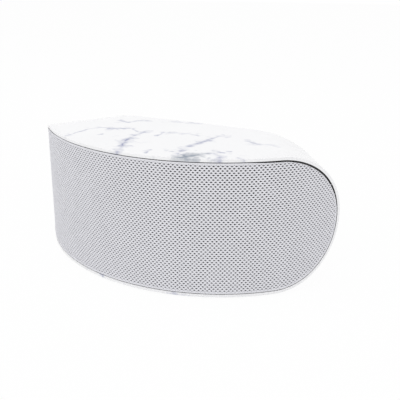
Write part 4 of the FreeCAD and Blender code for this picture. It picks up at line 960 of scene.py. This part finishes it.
@dataclass
class Fasteners:
    """Pan-head screws with a cross recess, in place of the rear cover's plain ones."""

    node: str = "rear_cover_screws"
    axis: Place = (0.0, 1.0, 0.0)
    recess_reach: float = 0.62
    recess_width: float = 0.17
    recess_depth: float = 0.6
    crown: float = 0.3
    crown_share: float = 0.8
    sides: int = 48
    tip_share: float = 0.9
    flattest: float = 1e-6
    spin_seed: int = 7

    def islands(self, node: bpy.types.Object) -> list[list[Vector]]:
        """Split a CAD node into the points of its separate solids, in the mesh's own order.

        Args:
            node: The node's object.

        Returns:
            The points of each solid, in metres.
        """
        work = bmesh.new()
        work.from_mesh(node.data)
        bmesh.ops.remove_doubles(work, verts=work.verts, dist=MERGE_GAP)
        left = set(work.verts)
        found: list[list[Vector]] = []
        for start in work.verts:
            if start not in left:
                continue
            left.remove(start)
            edge = [start]
            solid: list[Vector] = []
            while edge:
                vert = edge.pop()
                solid.append(vert.co.copy())
                for link in vert.link_edges:
                    other = link.other_vert(vert)
                    if other in left:
                        left.remove(other)
                        edge.append(other)
            found.append(solid)
        work.free()
        return found

    def cross(self, angle: float, reach: float) -> float:
        """Give the recess's radius at an angle.

        Args:
            angle: The angle round the head.
            reach: The half length of an arm.

        Returns:
            The radius, on the outline of two crossed bars.
        """
        width = reach * self.recess_width / self.recess_reach
        run = max(abs(math.cos(angle)), self.flattest)
        rise = max(abs(math.sin(angle)), self.flattest)
        return max(min(reach / run, width / rise), min(width / run, reach / rise))

    def form(self, head: float, head_height: float, shaft: float, length: float) -> bpy.types.Object:
        """Make one screw with its head's top at the origin and its shaft along -Z.

        Args:
            head: The head's radius in metres.
            head_height: The head's height in metres.
            shaft: The shaft's radius in metres.
            length: The whole length in metres.

        Returns:
            The screw as an object.
        """
        angles = [math.tau * side / self.sides for side in range(self.sides)]
        reach = head * self.recess_reach
        floor = -head_height * self.recess_depth
        rings = [([radius] * self.sides, level) for radius, level in (
            (shaft, -length), (shaft, -head_height), (head, -head_height), (head, -head_height * self.crown),
            (head * self.crown_share, 0.0),
        )]
        rings += [([self.cross(turn, size) for turn in angles], level) for size, level in (
            (reach, 0.0), (reach * self.crown_share, floor),
        )]
        points = [
            Vector((radius * math.cos(turn), radius * math.sin(turn), level))
            for radii, level in rings
            for radius, turn in zip(radii, angles)
        ]
        faces: list[tuple[int, ...]] = [tuple(reversed(range(self.sides)))]
        for ring in range(len(rings) - 1):
            faces += ring_faces(ring * self.sides, (ring + 1) * self.sides, self.sides)
        last = (len(rings) - 1) * self.sides
        points.append(Vector((0, 0, floor)))
        for side in range(self.sides):
            faces.append((last + side, last + (side + 1) % self.sides, len(points) - 1))
        return new_object("screw_form", mesh_from("screw_form", points, faces))

    def planting(self) -> Tree:
        """Build the tree that sets a screw on every point, each turned at random about its axis.

        Returns:
            The geometry tree.
        """
        tree = new_tree("screw_set", {
            "Geometry": "NodeSocketGeometry", "Screw": "NodeSocketObject", "Axis": "NodeSocketVector",
            "Seed": "NodeSocketInt", "Material": "NodeSocketMaterial",
        }, "NodeSocketGeometry")
        given = add_node(tree, "NodeGroupInput").outputs
        screw = add_node(tree, "GeometryNodeObjectInfo", {"Object": given["Screw"], "As Instance": True})
        aimed = add_node(tree, "FunctionNodeAlignRotationToVector", {"Vector": given["Axis"]}, axis="Z")
        spin = add_node(tree, "FunctionNodeRandomValue", {
            RANDOM_MAX: math.tau, "Seed": given["Seed"],
        }, data_type="FLOAT")
        turn = add_node(tree, "FunctionNodeAxisAngleToRotation", {
            "Axis": (0, 0, 1), "Angle": spin.outputs[RANDOM_RESULT],
        })
        stance = add_node(tree, "FunctionNodeRotateRotation", {
            "Rotation": aimed, "Rotate By": turn,
        }, rotation_space="LOCAL")
        planted = add_node(tree, "GeometryNodeInstanceOnPoints", {
            "Points": given["Geometry"], "Instance": screw.outputs["Geometry"], "Rotation": stance,
        })
        real = add_node(tree, "GeometryNodeRealizeInstances", {"Geometry": planted})
        dressed = add_node(tree, "GeometryNodeSetMaterial", {"Geometry": real, "Material": given["Material"]})
        add_node(tree, "NodeGroupOutput", {"Result": dressed})
        return tree

    def build(self, nodes: dict[str, bpy.types.Object], material: bpy.types.Material) -> None:
        """Replace the plain screws.

        Args:
            nodes: The CAD nodes.
            material: The plating.
        """
        axis = Vector(self.axis)
        solids = self.islands(nodes[self.node])
        tops: list[Vector] = []
        for solid in solids:
            high = max(point.dot(axis) for point in solid)
            flat = [point - axis * point.dot(axis) for point in solid]
            middle = sum(flat, Vector()) / len(flat)
            tops.append(middle + axis * high)
        first = solids[0]
        spread = [(point - tops[0] - axis * (point - tops[0]).dot(axis)).length for point in first]
        depth = [-(point - tops[0]).dot(axis) for point in first]
        head = max(spread)
        shaft = max(wide for wide, deep in zip(spread, depth) if deep > max(depth) * self.tip_share)
        head_height = max(deep for wide, deep in zip(spread, depth) if wide > (head + shaft) / 2)
        form = self.form(head, head_height, shaft, max(depth))
        points = bpy.data.meshes.new(self.node + "_points")
        points.from_pydata([tuple(top) for top in tops], [], [])
        piece = new_object(self.node.replace("_screws", "_cross_screws"), points)
        run_tree(self.planting(), piece, {
            "Screw": form, "Axis": axis, "Seed": self.spin_seed, "Material": material,
        })
        bpy.data.objects.remove(form)
        finish_piece(piece, HOUSING, "plated_steel", material)
        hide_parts(self.node)


class Sign(Enum):
    """The plain raised signs on the keys."""

    POWER = "power_button"
    LESS = "volume_down_button"
    PLAY = "play_button"
    MORE = "volume_up_button"


@dataclass
class KeySigns:
    """Raised signs on the keys of the rear panel."""

    bar: float = 0.5
    reach: float = 1.5
    proud: float = 0.12
    sunk: float = 0.1
    ring_gap: float = math.radians(38.0)
    ring_steps: int = 28
    post_shift: float = 0.1
    play_share: float = 0.75
    soft: float = 0.05
    soft_steps: int = 2

    def outlines(self, sign: Sign) -> list[list[Point]]:
        """Draw a sign.

        Args:
            sign: Which sign.

        Returns:
            Its outlines in millimetres, across and up as seen from the front.
        """
        half, reach = self.bar / 2, self.reach
        if sign is Sign.LESS:
            return [[(-reach, -half), (reach, -half), (reach, half), (-reach, half)]]
        if sign is Sign.MORE:
            return [[
                (-reach, -half), (-half, -half), (-half, -reach), (half, -reach),
                (half, -half), (reach, -half), (reach, half), (half, half),
                (half, reach), (-half, reach), (-half, half), (-reach, half),
            ]]
        if sign is Sign.PLAY:
            tail = reach * self.play_share
            return [[(-reach, 0.0), (tail, -reach), (tail, reach)]]
        sweep = [
            math.pi / 2 + self.ring_gap + (math.tau - 2 * self.ring_gap) * step / self.ring_steps
            for step in range(self.ring_steps + 1)
        ]
        outside = reach - self.post_shift
        outer, inner = (
            [(radius * math.cos(turn), radius * math.sin(turn)) for turn in sweep]
            for radius in (outside, outside - self.bar)
        )
        foot, head = self.post_shift, reach + self.post_shift
        return [outer + inner[::-1], [(-half, foot), (half, foot), (half, head), (-half, head)]]

    def build(self, material: bpy.types.Material) -> None:
        """Make a sign on every key.

        Args:
            material: The signs' material.
        """
        for sign in Sign:
            low, high = (Vector(corner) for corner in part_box(sign.value))
            middle = (low + high) / 2
            points: list[Vector] = []
            faces: list[tuple[int, ...]] = []
            for outline in self.outlines(sign):
                count = len(outline)
                base, top = len(points), len(points) + count
                for level in (-self.sunk, self.proud):
                    points += [
                        Vector((middle.x + across * MM, high.y + level * MM, middle.z + up * MM))
                        for across, up in outline
                    ]
                faces += [tuple(range(base, top)), tuple(range(top, top + count))]
                faces += ring_faces(base, top, count)
            name = sign.name.lower() + "_sign"
            piece = new_object(name, mesh_from(name, points, faces))
            edge = piece.modifiers.new("soft_edge", "BEVEL")
            edge.width = self.soft * MM
            edge.segments = self.soft_steps
            settle(piece)
            finish_piece(piece, sign.value, "grey_keys", material)


@dataclass
class RubberRoll:
    """The roll between a fixed ring and its diaphragm, cut into sectors round the joint's axis."""

    node: str
    joint: str
    lip: float = 1.4
    sectors: int = 8

    def build(self, frame: dict, material: bpy.types.Material) -> None:
        """Replace the roll by its sectors.

        Args:
            frame: The loaded frame.
            material: The rubber.
        """
        joint = next(row for row in frame["joints"] if row["name"] == self.joint)
        axis = Vector(joint["axis"]).normalized()
        side = axis.cross(Vector((0, 0, 1)))
        upward = side.cross(axis)
        whole = bmesh.new()
        whole.from_mesh(frame["nodes"][self.node].data)
        bmesh.ops.remove_doubles(whole, verts=whole.verts, dist=MERGE_GAP)
        centre = Vector()
        for course in (axis, side, upward):
            reach = [vert.co.dot(course) for vert in whole.verts]
            centre += course * (min(reach) + max(reach)) / 2
        half = math.pi / self.sectors
        for number in range(self.sectors):
            middle = 2 * half * number
            out = side * math.cos(middle) + upward * math.sin(middle)
            work = whole.copy()
            for turn in (-half, half):
                along = side * math.cos(middle + turn) + upward * math.sin(middle + turn)
                beyond = along.cross(axis)
                if beyond.dot(out) > 0:
                    beyond.negate()
                self.cut(work, centre, beyond)
            bmesh.ops.recalc_face_normals(work, faces=work.faces)
            mesh = bpy.data.meshes.new(f"{self.node}_sector_{number + 1}")
            work.to_mesh(mesh)
            work.free()
            piece = new_object(mesh.name, mesh)
            mesh.materials.append(material)
            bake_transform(piece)
            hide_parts(self.node)
            log.info("%s stretches from %s to %s", piece.name, joint["parent"], joint["child"])
        whole.free()

    def cut(self, work: bmesh.types.BMesh, centre: Vector, beyond: Vector) -> None:
        """Cut away what lies past a plane through the axis, and close the cut.

        Args:
            work: The mesh.
            centre: A point on the axis.
            beyond: The side that goes.
        """
        geometry = [*work.verts, *work.edges, *work.faces]
        bmesh.ops.bisect_plane(work, geom=geometry, plane_co=centre, plane_no=beyond, clear_outer=True)
        bmesh.ops.holes_fill(work, edges=[edge for edge in work.edges if edge.is_boundary])


@dataclass(frozen=True)
class Lamp:
    """A soft square lamp, with its place and side in metres and its power in watts."""

    name: str
    place: Place
    side: float
    power: float


@dataclass
class Studio:
    """A white floor, a white room, soft lamps and the photograph's camera."""

    frame_px: float = 400.0
    aim_px: Point = (181.6, 181.7)
    aim_mm: Place = (0.0, 23.0, 45.2)
    azimuth: float = math.radians(27.18)
    elevation: float = math.radians(18.76)
    distance_mm: float = 381.2
    focal_px: float = 601.7
    sensor_mm: float = 36.0
    clip_mm: float = 10.0
    floor_half: float = 4.0
    floor_white: float = 0.96
    room_light: float = 0.69
    white: str = "#FFFFFF"
    paper: str = "#F4F4F4"
    lamps: tuple[Lamp, ...] = (
        Lamp("top_lamp", (-0.1, -0.3, 1.5), 1.4, 6.2),
        Lamp("left_lamp", (-1.4, -1.0, 0.9), 1.0, 4.0),
        Lamp("right_lamp", (1.5, -0.9, 0.9), 1.0, 4.6),
    )

    def seen(self, tree: Tree) -> Source:
        """Tell rays that show the background from rays that light the object.

        Args:
            tree: The tree of the floor or the world.

        Returns:
            One for a camera, glossy or transmission ray.
        """
        path = add_node(tree, "ShaderNodeLightPath").outputs
        shine = add_node(
            tree, MATH, {0: path["Is Glossy Ray"], 1: path["Is Transmission Ray"]}, operation="MAXIMUM"
        )
        return add_node(tree, MATH, {0: path["Is Camera Ray"], 1: shine}, operation="MAXIMUM")

    def floor(self) -> None:
        """Lay the white floor, which keeps a faint shadow."""
        half = self.floor_half
        mesh = bpy.data.meshes.new("floor")
        corners = [(-half, -half, 0), (half, -half, 0), (half, half, 0), (-half, half, 0)]
        mesh.from_pydata(corners, [], [tuple(range(len(corners)))])
        floor = new_object("floor", mesh)
        material = bpy.data.materials.new("white_paper_sweep")
        material.use_nodes = True
        tree = material.node_tree
        tree.nodes.clear()
        glow = add_node(tree, "ShaderNodeEmission", {"Color": linear(self.white), "Strength": 1.0})
        paper = add_node(tree, "ShaderNodeBsdfDiffuse", {"Color": linear(self.paper)})
        share = add_node(tree, MATH, {0: self.seen(tree), 1: self.floor_white}, operation="MULTIPLY")
        mixed = add_node(tree, "ShaderNodeMixShader", {0: share, 1: paper, 2: glow})
        add_node(tree, "ShaderNodeOutputMaterial", {"Surface": mixed})
        mesh.materials.append(material)

    def room(self) -> None:
        """Fill the room with even white light."""
        world = bpy.data.worlds.new("white_room")
        world.use_nodes = True
        bpy.context.scene.world = world
        tree = world.node_tree
        strength = add_node(tree, REMAP, {"Value": self.seen(tree), "To Min": self.room_light, "To Max": 1.0})
        back = tree.nodes["Background"]
        back.inputs["Color"].default_value = linear(self.white)
        tree.links.new(strength.outputs[0], back.inputs["Strength"])

    def light(self) -> None:
        """Hang the soft lamps, all aimed at the speaker."""
        aim = Vector(self.aim_mm) * MM
        for lamp in self.lamps:
            light = bpy.data.lights.new(lamp.name, "AREA")
            light.size = lamp.side
            light.energy = lamp.power
            holder = bpy.data.objects.new(lamp.name, light)
            holder.location = lamp.place
            holder.rotation_euler = (aim - Vector(lamp.place)).to_track_quat("-Z", "Y").to_euler()
            bpy.context.scene.collection.objects.link(holder)

    def camera(self) -> None:
        """Set up the camera at the photograph's angle."""
        level = math.cos(self.elevation)
        back = Vector((
            math.sin(self.azimuth) * level, -math.cos(self.azimuth) * level, math.sin(self.elevation),
        ))
        right = Vector((math.cos(self.azimuth), math.sin(self.azimuth), 0))
        up = back.cross(right)
        stance = Matrix((right, up, back)).transposed().to_4x4()
        lens = bpy.data.cameras.new("camera")
        lens.sensor_fit = "HORIZONTAL"
        lens.sensor_width = self.sensor_mm
        lens.lens = self.focal_px * self.sensor_mm / self.frame_px
        lens.shift_x = 0.5 - self.aim_px[0] / self.frame_px
        lens.shift_y = self.aim_px[1] / self.frame_px - 0.5
        lens.clip_start = self.clip_mm * MM
        holder = bpy.data.objects.new("camera", lens)
        place = (Vector(self.aim_mm) + back * self.distance_mm) * MM
        holder.matrix_world = Matrix.Translation(place) @ stance
        bpy.context.scene.collection.objects.link(holder)
        bpy.context.scene.camera = holder

    def build(self) -> None:
        """Set up the whole studio."""
        bpy.context.scene.view_settings.view_transform = "Standard"
        self.floor()
        self.room()
        self.light()
        self.camera()


def dress_nodes(frame: dict, materials: dict[str, bpy.types.Material]) -> None:
    """Give every CAD node the material of its slot.

    Args:
        frame: The loaded frame.
        materials: The materials by slot.
    """
    for row in frame["record"]["subparts"]:
        node = frame["nodes"][row["node"]]
        for slot in node.material_slots:
            slot.material = materials[row["material_slot"]]
        log.info("%s wears %s", row["node"], row["material_slot"])


def main() -> None:
    """Load the frame, dress it and set up the studio."""
    logging.basicConfig(level=logging.INFO, format="%(message)s")
    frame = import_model()
    materials = {slot: finish.material() for slot, finish in FINISHES.items()}
    dress_nodes(frame, materials)
    MeshFront().build(materials["grille_mesh"])
    Fasteners().build(frame["nodes"], materials["plated_steel"])
    KeySigns().build(SIGN_INK.material())
    for node, joint in ROLLS.items():
        RubberRoll(node, joint).build(frame, materials["roll_rubber"])
    Studio().build()


if __name__ == "__main__":
    main()
